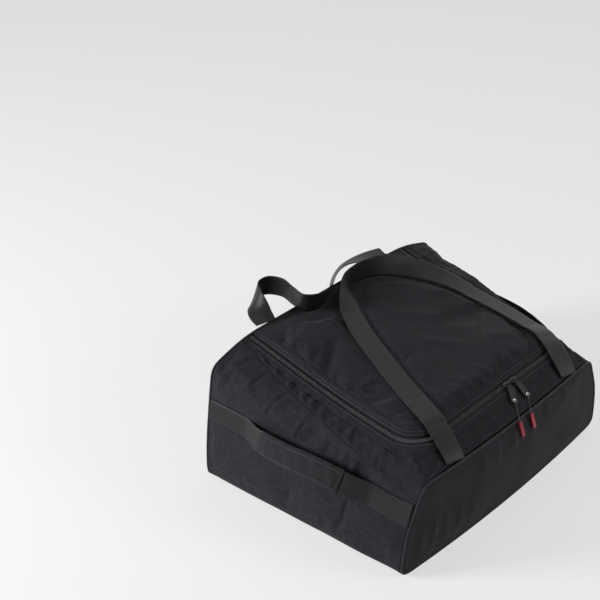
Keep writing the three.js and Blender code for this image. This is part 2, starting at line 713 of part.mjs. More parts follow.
function meshOf(name, material, solid) {
  const { vertProperties, triVerts } = solid.getMesh();
  const geometry = new THREE.BufferGeometry();
  geometry.setAttribute('position', new THREE.Float32BufferAttribute(vertProperties, 3));
  geometry.setIndex(Array.from(triVerts));
  geometry.computeVertexNormals();
  const mesh = new THREE.Mesh(geometry, material);
  mesh.name = name;
  return mesh;
}

function polygon(points) {
  const shape = new THREE.Shape();
  points.forEach(([x, y], i) => (i ? shape.lineTo(x, y) : shape.moveTo(x, y)));
  return shape;
}

function roundedRectangle(fromX, toX, width, radius) {
  const shape = new THREE.Shape();
  const half = width / 2;
  shape.moveTo(fromX + radius, -half);
  shape.lineTo(toX - radius, -half);
  shape.absarc(toX - radius, -half + radius, radius, -Math.PI / 2, 0);
  shape.absarc(toX - radius, half - radius, radius, 0, Math.PI / 2);
  shape.lineTo(fromX + radius, half);
  shape.absarc(fromX + radius, half - radius, radius, Math.PI / 2, Math.PI);
  shape.absarc(fromX + radius, -half + radius, radius, Math.PI, 3 * Math.PI / 2);
  return shape;
}

// The tab narrows at the ring; its first hole is the origin
function tabOutline() {
  const shape = new THREE.Shape();
  const half = TAB_WIDTH / 2;
  const end = TAB_LENGTH - TAB_HOLE_INSET;
  const cut = TAB_NECK_HALF / 2;
  shape.moveTo(-TAB_HOLE_INSET, -cut);
  shape.lineTo(cut - TAB_HOLE_INSET, -TAB_NECK_HALF);
  shape.lineTo(TAB_NECK_END, -TAB_NECK_HALF);
  shape.lineTo(TAB_SHOULDER_END, -half);
  shape.lineTo(end - TAB_CORNER, -half);
  shape.absarc(end - TAB_CORNER, TAB_CORNER - half, TAB_CORNER, -Math.PI / 2, 0);
  shape.absarc(end - TAB_CORNER, half - TAB_CORNER, TAB_CORNER, 0, Math.PI / 2);
  shape.lineTo(TAB_SHOULDER_END, half);
  shape.lineTo(TAB_NECK_END, TAB_NECK_HALF);
  shape.lineTo(cut - TAB_HOLE_INSET, TAB_NECK_HALF);
  shape.lineTo(-TAB_HOLE_INSET, cut);
  return shape;
}

const hole = (x, radius) => new THREE.Path().absarc(x, 0, radius, 0, 2 * Math.PI, true);

// The slider is a channel over the chain, with an arch on its back; the ring turns on the arch's bar
const sliderTop = SLIDER_CLEARANCE + SLIDER_WALL;
const barHeight = sliderTop + REST_GAP + RING_RADIUS + RING_WIRE - RING_RISE;
const ringHang = RING_RADIUS - RING_WIRE - BRIDGE_WIDTH / 2 - RING_PLAY;

function sliderFrame(y) {
  const [u, s] = fromPlan(zipNoseX, y);
  const normal = wrapNormal(u, s).setY(0).normalize();
  const along = new THREE.Vector3(0, 1, 0);
  const downhill = along.clone().cross(normal);
  const origin = wrapPoint(u, s).addScaledVector(normal, CHAIN_TOP);
  return { origin, normal, along, downhill };
}

function slider(name, { origin, normal, along, downhill }) {
  const inner = CHAIN_HALF_WIDTH + SLIDER_CLEARANCE;
  const outer = inner + SLIDER_WALL;
  const foot = CHAIN_TOP - (-PANEL_THICKNESS - LAYER_GAP) - SLIDER_CLEARANCE;
  const channel = polygon([
    [-outer, -foot], [-inner, -foot], [-inner, SLIDER_CLEARANCE], [inner, SLIDER_CLEARANCE], [inner, -foot],
    [outer, -foot], [outer, sliderTop - SLIDER_EDGE], [outer - SLIDER_EDGE, sliderTop],
    [SLIDER_EDGE - outer, sliderTop], [-outer, sliderTop - SLIDER_EDGE],
  ]);
  const channelSolid = solidOf(extruded(channel, SLIDER_LENGTH, [downhill, normal, along.clone().negate()], origin));
  const crest = barHeight + BRIDGE_THICKNESS / 2;
  const half = BRIDGE_SPAN / 2;
  const arch = polygon([
    [-half, sliderTop - SLIDER_EDGE], [half, sliderTop - SLIDER_EDGE], [half, crest - BRIDGE_CORNER],
    [half - BRIDGE_CORNER, crest], [BRIDGE_CORNER - half, crest], [-half, crest - BRIDGE_CORNER],
  ]);
  const opening = half - BRIDGE_POST;
  const soffit = crest - BRIDGE_THICKNESS;
  arch.holes.push(new THREE.Path([
    new THREE.Vector2(-opening, sliderTop), new THREE.Vector2(-opening, soffit),
    new THREE.Vector2(opening, soffit), new THREE.Vector2(opening, sliderTop),
  ]));
  const archSolid = solidOf(extruded(arch, BRIDGE_WIDTH, [along, normal, downhill], origin));
  bag.add(meshOf(name, blackMetal, channelSolid.add(archSolid)));
}

// Everything that hangs on a slider: ring, tab with its eyelet, cord and tag
function pull(label, y, yawDegrees) {
  const frame = sliderFrame(y);
  slider(`slider_${label}`, frame);
  const { origin, normal, along, downhill } = frame;
  const local = (t, n) => origin.clone().addScaledVector(downhill, t).addScaledVector(normal, n);

  const ringCentre = local(ringHang, barHeight + RING_RISE);
  const ringSteps = 12;
  const ringRings = Array.from({ length: ringSteps }, (_, i) => {
    const angle = 2 * Math.PI * i / ringSteps;
    const out = downhill.clone().multiplyScalar(Math.cos(angle)).addScaledVector(normal, Math.sin(angle));
    return Array.from({ length: 5 }, (__, k) => {
      const turn = 2 * Math.PI * k / 5;
      return ringCentre.clone()
        .addScaledVector(out, RING_RADIUS + RING_WIRE * Math.cos(turn))
        .addScaledVector(along, RING_WIRE * Math.sin(turn));
    });
  });
  bag.add(loft(`pull_ring_${label}`, blackMetal, ringRings, true));

  // The tab lies from the ring down the slope, just clear of the cloth wherever the cloth is highest
  const yaw = THREE.MathUtils.degToRad(yawDegrees);
  const lipInner = TAB_THICKNESS / 2 + EYELET_PLAY;
  const lipOuter = lipInner + EYELET_LIP;
  const tabRoot = local(ringHang + RING_RADIUS, barHeight + RING_RISE);
  const tabReach = TAB_LENGTH - TAB_HOLE_INSET;
  const tabTip = new THREE.Vector3(tabReach * Math.cos(yaw), tabReach * Math.sin(yaw), 0).add(tabRoot);
  let lowest = -Infinity;
  for (let share = 0.25; share <= 1; share += 0.125) {
    const { point, normal: up } = topAt(mix(tabRoot.x, tabTip.x, share), mix(tabRoot.y, tabTip.y, share));
    const floor = point.z + (lipOuter + REST_GAP) / up.z;
    lowest = Math.max(lowest, tabRoot.z + (floor - tabRoot.z) / share);
  }
  tabTip.z = lowest;
  const tabAlong = tabTip.clone().sub(tabRoot).normalize();
  const tabUp = along.clone().cross(tabAlong).negate().normalize();
  const tabAcross = tabUp.clone().cross(tabAlong);
  const tabShape = tabOutline();
  const eyeletAt = tabReach - EYELET_INSET;
  tabShape.holes.push(hole(0, TAB_HOLE), hole(eyeletAt, EYELET_BARREL + EYELET_PLAY));
  const tabBasis = [tabAlong, tabAcross, tabUp];
  bag.add(meshOf(`pull_tab_${label}`, tabRubber, solidOf(extruded(tabShape, TAB_THICKNESS, tabBasis, tabRoot))));

  const profile = [
    [EYELET_BORE, -lipOuter], [EYELET_RADIUS, -lipOuter], [EYELET_RADIUS, -lipInner], [EYELET_BARREL, -lipInner],
    [EYELET_BARREL, lipInner], [EYELET_RADIUS, lipInner], [EYELET_RADIUS, lipOuter], [EYELET_BORE, lipOuter],
  ];
  const eyeletCentre = tabRoot.clone().addScaledVector(tabAlong, eyeletAt);
  const eyeletRings = Array.from({ length: 8 }, (_, i) => {
    const angle = 2 * Math.PI * i / 8;
    const out = tabAlong.clone().multiplyScalar(Math.cos(angle)).addScaledVector(tabAcross, Math.sin(angle));
    return profile.map(([r, h]) => eyeletCentre.clone().addScaledVector(out, r).addScaledVector(tabUp, h));
  });
  bag.add(loft(`eyelet_${label}`, brightMetal, eyeletRings, true));

  const seam = wrapPoint(1, TOP_CENTRE);
  const tagTop = new THREE.Vector3(xAt(1, y) + TAG_AHEAD, eyeletCentre.y - TAG_ASIDE, seam.z - 1);
  const tagDown = new THREE.Vector3(TAG_LEAN, TAG_SLANT, -1).normalize();
  const overCloth = (share, height) => {
    const plan = eyeletCentre.clone().lerp(tagTop, share);
    const { point, normal: up } = topAt(Math.min(plan.x, xAt(1, y) - SEAM_SETBACK), plan.y);
    return point.addScaledVector(up, height).setX(plan.x);
  };
  const cordLine = new THREE.CatmullRomCurve3([
    eyeletCentre.clone().addScaledVector(tabUp, 0.2),
    eyeletCentre.clone().addScaledVector(tabUp, lipOuter + 1.8).addScaledVector(tabAlong, 1.2),
    overCloth(0.33, 2 * lipOuter + CORD_RADIUS + 1),
    overCloth(0.68, PIPING_RADIUS + CORD_RADIUS + REST_GAP),
    tagTop.clone().addScaledVector(tagDown, -4),
    tagTop,
  ]);
  const cordSteps = 12;
  const cordPoints = cordLine.getPoints(cordSteps);
  const cordFrames = framesAlong(cordPoints, cordPoints.map(() => along), cordPoints.map(() => 0));
  const cordSection = Array.from({ length: 5 }, (_, k) => (
    [CORD_RADIUS * Math.cos(2 * Math.PI * k / 5), CORD_RADIUS * Math.sin(2 * Math.PI * k / 5)]
  ));
  bag.add(loft(`pull_cord_${label}`, cordNylon, cordFrames.map((f) => sectionRing(f, cordSection))));

  const tagOut = along.clone().cross(tagDown).negate().normalize();
  const tagShape = roundedRectangle(REST_GAP, TAG_LENGTH, TAG_WIDTH, TAG_CORNER);
  const tagBasis = [tagDown, tagOut.clone().cross(tagDown), tagOut];
  bag.add(meshOf(`tag_${label}`, redRubber, solidOf(extruded(tagShape, TAG_THICKNESS, tagBasis, tagTop))));
}

basePanel();
endPanel('near_end_panel', false);
endPanel('far_end_panel', true);
topBand();
lidFlap();
zip();
piping('back_piping', 0);
piping('nose_piping', 1);
facePanel('back_panel', 0, BACK_BULGE, -1);
facePanel('nose_panel', 1, NOSE_BULGE, 1);
carryHandles();
sideHandle('near', -1);
sideHandle('far', 1);
pull('near', SLIDER_NEAR_Y, PULL_NEAR_YAW);
pull('far', SLIDER_FAR_Y, PULL_FAR_YAW);

// The origin goes under the middle of the bag's bounding box
const reach = new THREE.Box3().setFromObject(bag);
const centre = reach.getCenter(new THREE.Vector3());
bag.position.set(-centre.x, -centre.y, -reach.min.z);

export default bag;
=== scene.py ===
# %% [markdown]
# # A wedge-shaped bag for a roof box
# The bag is a cloth shell sewn from seven panels, closed by a zip that runs in a U round its lid.
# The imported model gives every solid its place. This script dresses each of them as cloth,
# webbing, zip, metal and rubber, on the same measurements.

# %% Load the frame
import math

import bmesh
import bpy
import numpy as np
from mathutils import Matrix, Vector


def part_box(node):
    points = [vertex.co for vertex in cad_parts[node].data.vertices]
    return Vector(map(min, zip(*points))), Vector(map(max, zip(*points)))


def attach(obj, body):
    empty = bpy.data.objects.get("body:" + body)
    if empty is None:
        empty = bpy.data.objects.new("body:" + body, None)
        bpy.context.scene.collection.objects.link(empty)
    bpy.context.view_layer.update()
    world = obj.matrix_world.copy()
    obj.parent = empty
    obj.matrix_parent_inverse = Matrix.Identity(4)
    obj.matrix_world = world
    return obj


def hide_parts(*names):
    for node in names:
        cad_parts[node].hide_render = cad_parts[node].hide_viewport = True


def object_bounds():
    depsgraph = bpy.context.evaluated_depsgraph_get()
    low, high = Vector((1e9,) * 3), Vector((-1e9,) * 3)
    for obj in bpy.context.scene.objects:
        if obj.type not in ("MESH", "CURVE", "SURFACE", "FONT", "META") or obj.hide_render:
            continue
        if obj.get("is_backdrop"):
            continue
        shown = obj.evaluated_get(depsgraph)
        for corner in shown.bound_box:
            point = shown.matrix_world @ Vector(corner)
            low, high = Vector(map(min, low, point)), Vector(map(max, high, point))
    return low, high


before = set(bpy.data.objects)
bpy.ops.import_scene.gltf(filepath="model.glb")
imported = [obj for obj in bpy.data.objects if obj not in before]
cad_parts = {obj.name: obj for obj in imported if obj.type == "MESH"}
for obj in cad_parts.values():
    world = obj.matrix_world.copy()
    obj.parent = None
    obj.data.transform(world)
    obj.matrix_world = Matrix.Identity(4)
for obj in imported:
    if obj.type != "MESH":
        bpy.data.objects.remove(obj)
solid_box = [list(corner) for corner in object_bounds()]
print("solids:", len(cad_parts), "box in metres:", solid_box)

# %% [markdown]
# ## One origin for all measurements
# The bag is drawn in millimetres from the plane of its back seam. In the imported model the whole
# bag is shifted along X, and the base panel tells by how much: its back edge lies one seam
# setback in front of that plane.

# %% Origin and helpers
SEAM_GAP = 0.5
PIPING_RADIUS = 2.6
SEAM_SETBACK = PIPING_RADIUS + SEAM_GAP
ORIGIN_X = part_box("base_panel")[0][0] * 1000 - SEAM_SETBACK


def blend(a, b, share):
    """A straight mix: a at share 0, b at share 1."""
    return a + (b - a) * share


def ease(share):
    """A soft step: three times the square less twice the cube, held between 0 and 1."""
    held = np.clip(share, 0, 1)
    return held * held * (3 - 2 * held)


def unit(vectors):
    """Each vector divided by its length."""
    return vectors / np.maximum(np.linalg.norm(vectors, axis=-1, keepdims=True), 1e-12)


def to_metres(points):
    """Millimetres from the back seam become metres in the model's frame."""
    return (points + np.array([ORIGIN_X, 0, 0])) / 1000


def full_turn(first, second, count):
    """Directions round a full turn: first times the cosine plus second times the sine."""
    angle = (np.arange(count) / count * math.tau)[:, None]
    return first[..., None, :] * np.cos(angle) + second[..., None, :] * np.sin(angle)


def line_length(line):
    """The steps between the points of a line, added up."""
    return float(np.linalg.norm(np.diff(line, axis=0), axis=1).sum())


def new_object(name, data):
    """An object made from its data and linked to the scene."""
    thing = bpy.data.objects.new(name, data)
    bpy.context.collection.objects.link(thing)
    return thing


def place_object(thing, axes, place):
    """Gives an object its X, Y and Z directions and its place, in metres."""
    turn = Matrix.Identity(4)
    for column, vector in enumerate((*axes, place)):
        for row in range(3):
            turn[row][column] = float(vector[row])
    thing.matrix_world = turn


print("back seam plane at x =", round(ORIGIN_X, 2), "mm")

# %% [markdown]
# ## The camera
# The photograph looks down on the near front corner with a long lens. Azimuth 42.7 degrees,
# elevation 31.7 degrees and a focal length of 1325 pixels on a 600 pixel frame put the seams,
# the zip and the handles of the bag where the photograph has them.

# %% Camera
AZIMUTH, ELEVATION = math.radians(42.7), math.radians(31.7)
EYE = np.array([1672.68, -1906.13, 1842.41])
FOCAL_PIXELS, PICTURE_PIXELS, SENSOR = 1325, 600, 36
camera_data = bpy.data.cameras.new("camera")
camera_data.sensor_width = SENSOR
camera_data.lens = FOCAL_PIXELS / PICTURE_PIXELS * SENSOR
camera_data.clip_end = 50
camera = new_object("camera", camera_data)
right = np.array([math.cos(AZIMUTH), math.sin(AZIMUTH), 0])
toward = np.array([
    -math.sin(AZIMUTH) * math.cos(ELEVATION), math.cos(AZIMUTH) * math.cos(ELEVATION), -math.sin(ELEVATION),
])
place_object(camera, (right, np.cross(right, toward), -toward), to_metres(EYE))
bpy.context.scene.camera = camera
print("camera at", [round(c, 3) for c in camera.location])

# %% [markdown]
# ## The shape of the wrap
# Seen from the end, the bag is a rounded wedge section that is wide and high at the back and
# lower at the nose. Twelve control points of a cubic B-spline give one half of that section,
# and every one of them moves in a straight line from back to nose, with a little fullness
# in the sides, a crown on the top and a brow before the nose.

# %% Section of the wrap
BAG_LENGTH = 505
BACK = dict(
    base=390, side=386, side_z=100, upper=375, upper_z=190, ridge=363, ridge_z=277, shoulder=262, top=307,
)
NOSE = dict(
    base=352, side=338, side_z=108, upper=313, upper_z=160, ridge=294, ridge_z=204, shoulder=228, top=205,
)
BOTTOM_ROUNDING, RIDGE_ROUNDING, SIDE_FULLNESS, TOP_CROWN, CROWN_END = 46, 38, 9, 14, 0.9
BROW_HEIGHT, NOSE_BOW, BOW_START = 68, 15, 0.925
TOP = 11


def section_controls(u):
    """Control points of the half section for each u, as (..., 14, 2).

    The first is reflected through the base corner and the last through the middle plane, so that
    the spline starts and ends where it should.
    """
    u = np.asarray(u, float)
    at = {key: blend(BACK[key], NOSE[key], u) for key in BACK}
    full = SIDE_FULLNESS * np.sin(np.pi * np.clip(u, 0, 1))
    brow = BROW_HEIGHT * u**4 * (1 - np.clip(u, 0, 1) ** 9)
    crown = TOP_CROWN * np.sin(np.pi * np.clip(u / CROWN_END, 0, 1))
    top = at["top"] + brow
    pair = lambda y, z: np.stack(np.broadcast_arrays(y, z), -1)
    reach = lambda a, b, distance: a + unit(b - a) * distance
    foot = pair(at["base"], u * 0)
    side = pair(at["side"] + full, at["side_z"])
    upper = pair(at["upper"] + full, at["upper_z"])
    ridge = pair(at["ridge"], at["ridge_z"])
    shoulder = pair(at["shoulder"], top)
    inner = pair(at["base"] - BOTTOM_ROUNDING, u * 0)
    outer_top = pair(at["shoulder"] * 0.36, top + crown)
    line = [
        2 * inner - foot, inner, foot, reach(foot, side, BOTTOM_ROUNDING), side, upper,
        reach(ridge, upper, RIDGE_ROUNDING), ridge, reach(ridge, shoulder, RIDGE_ROUNDING), shoulder,
        pair(at["shoulder"] * 0.72, top + crown * 0.45), outer_top, pair(u * 0, top + crown),
        outer_top * np.array([-1, 1]),
    ]
    return np.stack(line, -2)


def section_point(u, s):
    """Half width and height: the cubic B-spline weights of the four controls round s."""
    u, s = np.broadcast_arrays(np.asarray(u, float), np.asarray(s, float))
    controls = section_controls(u)
    k = np.clip(np.floor(s), 0, TOP - 1).astype(int)
    t = s - k
    weights = ((1 - t) ** 3, 3 * t**3 - 6 * t**2 + 4, -3 * t**3 + 3 * t**2 + 3 * t + 1, t**3)
    total = 0
    for step, weight in enumerate(weights):
        near = np.take_along_axis(controls, (k + step)[..., None, None], -2)[..., 0, :]
        total = total + weight[..., None] * near / 6
    return total[..., 0], total[..., 1]


def seam_x(u, y):
    """Place along the bag: u times the length, plus the bow of the nose seam at its middle."""
    half = blend(BACK["base"], NOSE["base"], u)
    return u * BAG_LENGTH + NOSE_BOW * (1 - (y / half) ** 2) * ease((u - BOW_START) / (1 - BOW_START))


def wrap_point(u, s):
    """Point of the wrap: s runs from the near base seam over the top (11) to the far one (22)."""
    far = s > TOP
    half, z = section_point(u, np.where(far, 2 * TOP - s, s))
    return np.stack(np.broadcast_arrays(seam_x(u, half), np.where(far, half, -half), z), -1)


def wrap_normal(u, s):
    """Outward direction: the step along the bag crossed with the step across it."""
    u, s = np.broadcast_arrays(np.asarray(u, float), np.asarray(s, float))
    along = wrap_point(u + 0.002, s) - wrap_point(u - 0.002, s)
    across = wrap_point(u, np.minimum(2 * TOP, s + 0.02)) - wrap_point(u, np.maximum(0, s - 0.02))
    return unit(np.cross(along, across))


def raised(u, s, height=0.0):
    """Point of the wrap moved outwards by a height."""
    return wrap_point(u, s) + wrap_normal(u, s) * np.asarray(height, float)[..., None]


def halve(low, high, is_low):
    """Bisection on whole arrays: forty times the middle takes the place of one end."""
    for _ in range(40):
        middle = (low + high) / 2
        below = is_low(middle)
        low, high = np.where(below, middle, low), np.where(below, high, middle)
    return (low + high) / 2


def from_plan(x, y):
    """The (u, s) of a point of the top seen from above."""
    x, y = np.broadcast_arrays(np.asarray(x, float), np.asarray(y, float))
    u = halve(np.zeros_like(x), np.full_like(x, 1.2), lambda m: seam_x(m, y) < x)
    s = halve(np.full_like(x, 5.5), np.full_like(x, TOP), lambda m: section_point(u, m)[0] > np.abs(y))
    return u, np.where(y > 0, 2 * TOP - s, s)


def from_height(u, z):
    """The s of a point of the near side at a height."""
    low = np.ones_like(u)
    return halve(low, low * 6, lambda m: section_point(u, m)[1] < z)


def step_in_s(u, s, distance):
    """A step in s that is so many millimetres long."""
    span = np.linalg.norm(wrap_point(u, s + 0.05) - wrap_point(u, s), axis=-1)
    return distance * 0.05 / span


def wrap_u(share):
    """u between the two end seams."""
    return blend(SEAM_SETBACK / BAG_LENGTH, 1 - SEAM_SETBACK / BAG_LENGTH, share)


def fold_seam(u):
    """The gathered seam runs diagonally, from the shoulder at the back to the side of the nose."""
    return blend(7.8, 4.78, u**1.2)


back_height, nose_height = (float(wrap_point(end, float(TOP))[2]) for end in (0.0, 1.0))
print("height at the back:", round(back_height, 1), "at the nose:", round(nose_height, 1))

# %% [markdown]
# ## The track of the zip
# Seen from above, the zip is a U with round corners. A run along it and a distance beside it
# place the chain, its tapes, the hems and the stitches.

# %% Zip track
ZIP_LEG_HALF, ZIP_CORNER, ZIP_NOSE_X = 253, 65, BAG_LENGTH - 47
CORNER_X, CORNER_Y = ZIP_NOSE_X - ZIP_CORNER, ZIP_LEG_HALF - ZIP_CORNER
LEG = CORNER_X - SEAM_SETBACK
ARC = ZIP_CORNER * math.pi / 2
ZIP_RUN = 2 * (LEG + ARC + CORNER_Y)
HEM_REACH, TAPE_REACH, CHAIN_TOP, PANEL = 9.5, 17, -0.4, 2.6
LID_PUFF, PUFF_RUN = 9, 13


def track_parts(run):
    """How much of leg, corner (as an angle) and nose a run has passed, and whether it is far."""
    far = run > ZIP_RUN / 2
    near_run = np.where(far, ZIP_RUN - run, run)
    angle = np.clip((near_run - LEG) / ARC, 0, 1) * math.pi / 2
    return np.minimum(near_run, LEG), angle, np.maximum(near_run - LEG - ARC, 0), far


def beside_track(run, distance):
    """Plan of a point beside the track; a positive distance lies outside the U."""
    leg, angle, nose, far = track_parts(np.asarray(run, float))
    radius = ZIP_CORNER + distance
    x = SEAM_SETBACK + leg + radius * np.sin(angle)
    y = -CORNER_Y + nose - radius * np.cos(angle)
    return x, np.where(far, -y, y)


def on_track(run, distance, height=0.0):
    """The same point on the wrap, at a height above it."""
    run, height = np.broadcast_arrays(np.asarray(run, float), np.asarray(height, float))
    return raised(*from_plan(*beside_track(run, distance)), height)


def inside_hem(x, y):
    """Distance from the lid's hem inwards: to the corner's arc there, else to the nearer side."""
    radius = ZIP_CORNER - HEM_REACH
    side = np.abs(y)
    corner = (x > CORNER_X) & (side > CORNER_Y)
    from_arc = radius - np.hypot(x - CORNER_X, side - CORNER_Y)
    from_sides = np.minimum(CORNER_Y + radius - side, CORNER_X + radius - x)
    return np.maximum(0, np.where(corner, from_arc, from_sides))


def lid_puff(x, y):
    """How far the stuffed lid stands above its hem: it nears the puff along an exponential."""
    return LID_PUFF * (1 - np.exp(-inside_hem(x, y) / PUFF_RUN)) * ease(x / 60)


def top_at(x, y):
    """Point and outward direction of the top at a place in plan; level behind the back seam."""
    x, y = np.broadcast_arrays(np.asarray(x, float), np.asarray(y, float))
    on_bag = np.maximum(x, SEAM_SETBACK)
    u, s = from_plan(on_bag, y)
    normal = wrap_normal(u, s)
    point = wrap_point(u, s) + normal * lid_puff(on_bag, y)[..., None]
    point[..., 0] += x - on_bag
    return point, normal


print("zip run:", round(ZIP_RUN), "mm")

# %% [markdown]
# ## Loops over the top
# The two carry loops are 50 mm webbing that starts in one end seam and lies over the lid. Each
# row gives a place along the bag and across it, the height of the underside above the cloth and
# the angle by which the webbing stands up. A smooth curve joins the rows. They come before the
# cloth, because the cloth stays down where they lie on it.

# %% Lines of the loops
WEBBING, WEBBING_THICK, WEBBING_LIFT, ROOT_HALF = 50, 1.8, 0.7, 200


def smooth_line(rows, count):
    """A centripetal Catmull-Rom curve: the speed at each point follows the square root of its gaps."""
    rows = np.asarray(rows, float)
    padded = np.vstack([2 * rows[0] - rows[1], rows, 2 * rows[-1] - rows[-2]])
    at = np.linspace(0, len(rows) - 1, count)
    i = np.minimum(at.astype(int), len(rows) - 2)
    t = (at - i)[:, None]
    p0, p1, p2, p3 = (padded[i + k] for k in range(4))
    gap = lambda a, b: np.maximum(np.linalg.norm(b - a, axis=1), 1e-8)[:, None] ** 0.5
    g0, g1, g2 = gap(p0, p1), gap(p1, p2), gap(p2, p3)
    v1 = ((p1 - p0) / g0 - (p2 - p0) / (g0 + g1) + (p2 - p1) / g1) * g1
    v2 = ((p2 - p1) / g1 - (p3 - p1) / (g1 + g2) + (p3 - p2) / g2) * g1
    return p1 + v1 * t + (-3 * p1 + 3 * p2 - 2 * v1 - v2) * t**2 + (2 * p1 - 2 * p2 + v1 + v2) * t**3


def frames_along(points, normals, rolls):
    """Across and up directions of a strip: normal crossed with the line, turned by the roll."""
    tangent = unit(np.gradient(points, axis=0))
    across = unit(np.cross(normals, tangent))
    c, s = np.cos(rolls)[:, None], np.sin(rolls)[:, None]
    across = across * c + np.cross(tangent, across) * s
    return points, across, np.cross(tangent, across)


def loop_line(rows, reach, count):
    """Middle line of a loop: the top of the bag at each place, raised by the row's height."""
    table = np.asarray(rows, float)
    level = 0 * table[:, 0]
    plan = smooth_line(np.column_stack([table[:, 0] * reach, table[:, 1] * ROOT_HALF, level]), count)
    stand = smooth_line(np.column_stack([table[:, 2], table[:, 3], level]), count)
    roll = np.radians(stand[:, 1])
    point, normal = top_at(plan[:, 0], plan[:, 1])
    edge = np.abs(np.sin(roll)) * WEBBING / 2 + WEBBING_THICK / 2
    lift = WEBBING_LIFT + np.maximum(0, stand[:, 0]) + edge
    return point + normal * lift[:, None], normal, roll, plan


NOSE_ROWS = [
    [1, -1, 0.6, 0], [0.93, -0.945, 3, 0], [0.872, -0.9, 6, 0], [0.805, -0.845, 4, 0], [0.665, -0.71, 1, 0],
    [0.495, -0.55, 0.6, 0], [0.332, -0.39, 0.6, 0], [0.211, -0.23, 1, 5], [0.141, -0.1, 2, 30],
    [0.086, 0.04, 2, 68], [0.059, 0.22, 2, 86], [0.067, 0.45, 2, 80], [0.117, 0.73, 2, 56], [0.219, 1, 5, 22],
    [0.371, 1.19, 9, 4], [0.567, 1.25, 11, 0], [0.733, 1.22, 11, 0], [0.841, 1.15, 11, 0],
    [0.923, 1.065, 6, 0], [1, 1, 0.6, 0],
]
BACK_ROWS = [
    [-0.005, -1, 2.6, 0], [-0.13, -0.975, 5, -22], [-0.28, -0.9, 8, -62], [-0.4, -0.76, 6, -86],
    [-0.39, -0.6, 5, -90], [-0.24, -0.52, 5, -88], [-0.05, -0.545, 1.6, -86], [0.14, -0.56, 0, -84],
    [0.24, -0.43, 0, -82], [0.21, -0.24, 1.5, -80], [0.09, -0.05, 4, -74], [-0.03, 0.2, 6, -56],
    [-0.09, 0.5, 6, -26], [-0.06, 0.8, 5.7, -6], [-0.01, 1, 3.7, 0],
]
NOSE_ROOT = float(seam_x(1.0, ROOT_HALF)) - SEAM_SETBACK - 0.5
nose_loop = loop_line(NOSE_ROWS, NOSE_ROOT, 361)
back_loop = loop_line(BACK_ROWS, ROOT_HALF, 225)
PULLS = {"near": (44, -36), "far": (66, -4)}
PULL_START, PULL_END = 462, 512
pull_plan = np.array([
    (blend(PULL_START, PULL_END, t), y - slant * t)
    for y, slant in ((PULLS["near"][0], 40), (PULLS["far"][0], 10)) for t in np.linspace(0, 1, 7)
])
loop_plan = np.vstack([nose_loop[3][:, :2], back_loop[3][:, :2], np.repeat(pull_plan, 3, 0)])
for label, line in (("nose loop", nose_loop), ("back loop", back_loop)):
    print(label, "length in mm:", round(line_length(line[0])))


def under_loops(x, y):
    """1 where a loop lies on the cloth, easing to 0 at 50 mm from its middle line."""
    gap = np.full(np.shape(x), 1e9)
    for place in loop_plan[::3]:
        gap = np.minimum(gap, np.hypot(x - place[0], y - place[1]))
    return 1 - ease((gap - 31) / 19)


# %% [markdown]
# ## Folds in the cloth
# Soft bags are never smooth. Three kinds of folds are added as heights over the wrap: short
# gathers that start at a seam and die out, single creases, and the slow swell of the packed
# goods under the cloth. Each is a plain formula, so it is the same on every run.

# %% Fold formulas


def crease(x, y, start, end, width, height):
    """A rounded ridge along a segment: a bell across it, a soft rise and fall along it."""
    a, b = np.array(start, float), np.array(end, float)
    along = unit(b - a)
    length = np.linalg.norm(b - a)
    run = (x - a[0]) * along[0] + (y - a[1]) * along[1]
    off = -(x - a[0]) * along[1] + (y - a[1]) * along[0]
    rise = ease(run / (0.35 * length)) * ease((length - run) / (0.45 * length))
    return height * np.exp(-((off / width) ** 2)) * rise


def creases(x, y, rows):
    """Creases added up; each row gives start, end, width and height."""
    return sum(crease(x, y, *row) for row in rows)


def swell(a, b, seed, size=110.0, height=1.0):
    """Slow unevenness: eight sine waves of fixed directions, lengths and starts, added up."""
    rng = np.random.default_rng(seed)
    total = 0
    for _ in range(8):
        turn, phase, length = rng.uniform(0, math.tau), rng.uniform(0, math.tau), size * rng.uniform(0.5, 1.4)
        total = total + np.sin((a * math.cos(turn) + b * math.sin(turn)) * math.tau / length + phase)
    return height * total / 3.2


def gathers(run, seed, spacing=52.0):
    """Pleats along a seam: narrow crests at uneven spacing, each of its own height."""
    rng = np.random.default_rng(seed)
    total, place = 0, -spacing
    while place < 620:
        place += spacing * rng.uniform(0.55, 1.3)
        width, height = rng.uniform(6.0, 10.0), rng.uniform(0.4, 1.0)
        total = total + height * np.exp(-(((run - place) / width) ** 2))
    return total


# %% [markdown]
# ## From grid to mesh
# Every sheet is a grid of points with an outer and an inner layer. The rim between them gets a
# middle row that stands out a little, so a cut edge reads as a rolled hem. UV coordinates are
# lengths in metres along the cloth, so that the weave has its real scale everywhere.

# %% Mesh helpers
piece_triangles = {}


def grid_faces(rows, columns, close_rows=False, close_columns=False, start=0):
    """Quads between neighbours of a grid; a closed direction joins its last line to its first."""
    i = np.arange(rows if close_rows else rows - 1)[:, None]
    j = np.arange(columns if close_columns else columns - 1)[None, :]
    corner = lambda a, b: start + (a % rows) * columns + (b % columns)
    quads = np.stack([corner(i, j), corner(i + 1, j), corner(i + 1, j + 1), corner(i, j + 1)], -1)
    return quads.reshape(-1, 4)


def lengths(points, axis):
    """Running length along one direction of a grid."""
    gaps = np.linalg.norm(np.diff(points, axis=axis), axis=-1)
    first = np.zeros_like(np.take(gaps, [0], axis))
    return np.cumsum(np.concatenate([first, gaps], axis), axis)


def cloth_uv(points):
    """UV in metres: mean running length along the rows and across them."""
    return np.stack([lengths(points, 0), lengths(points, 1)], -1) / 1000


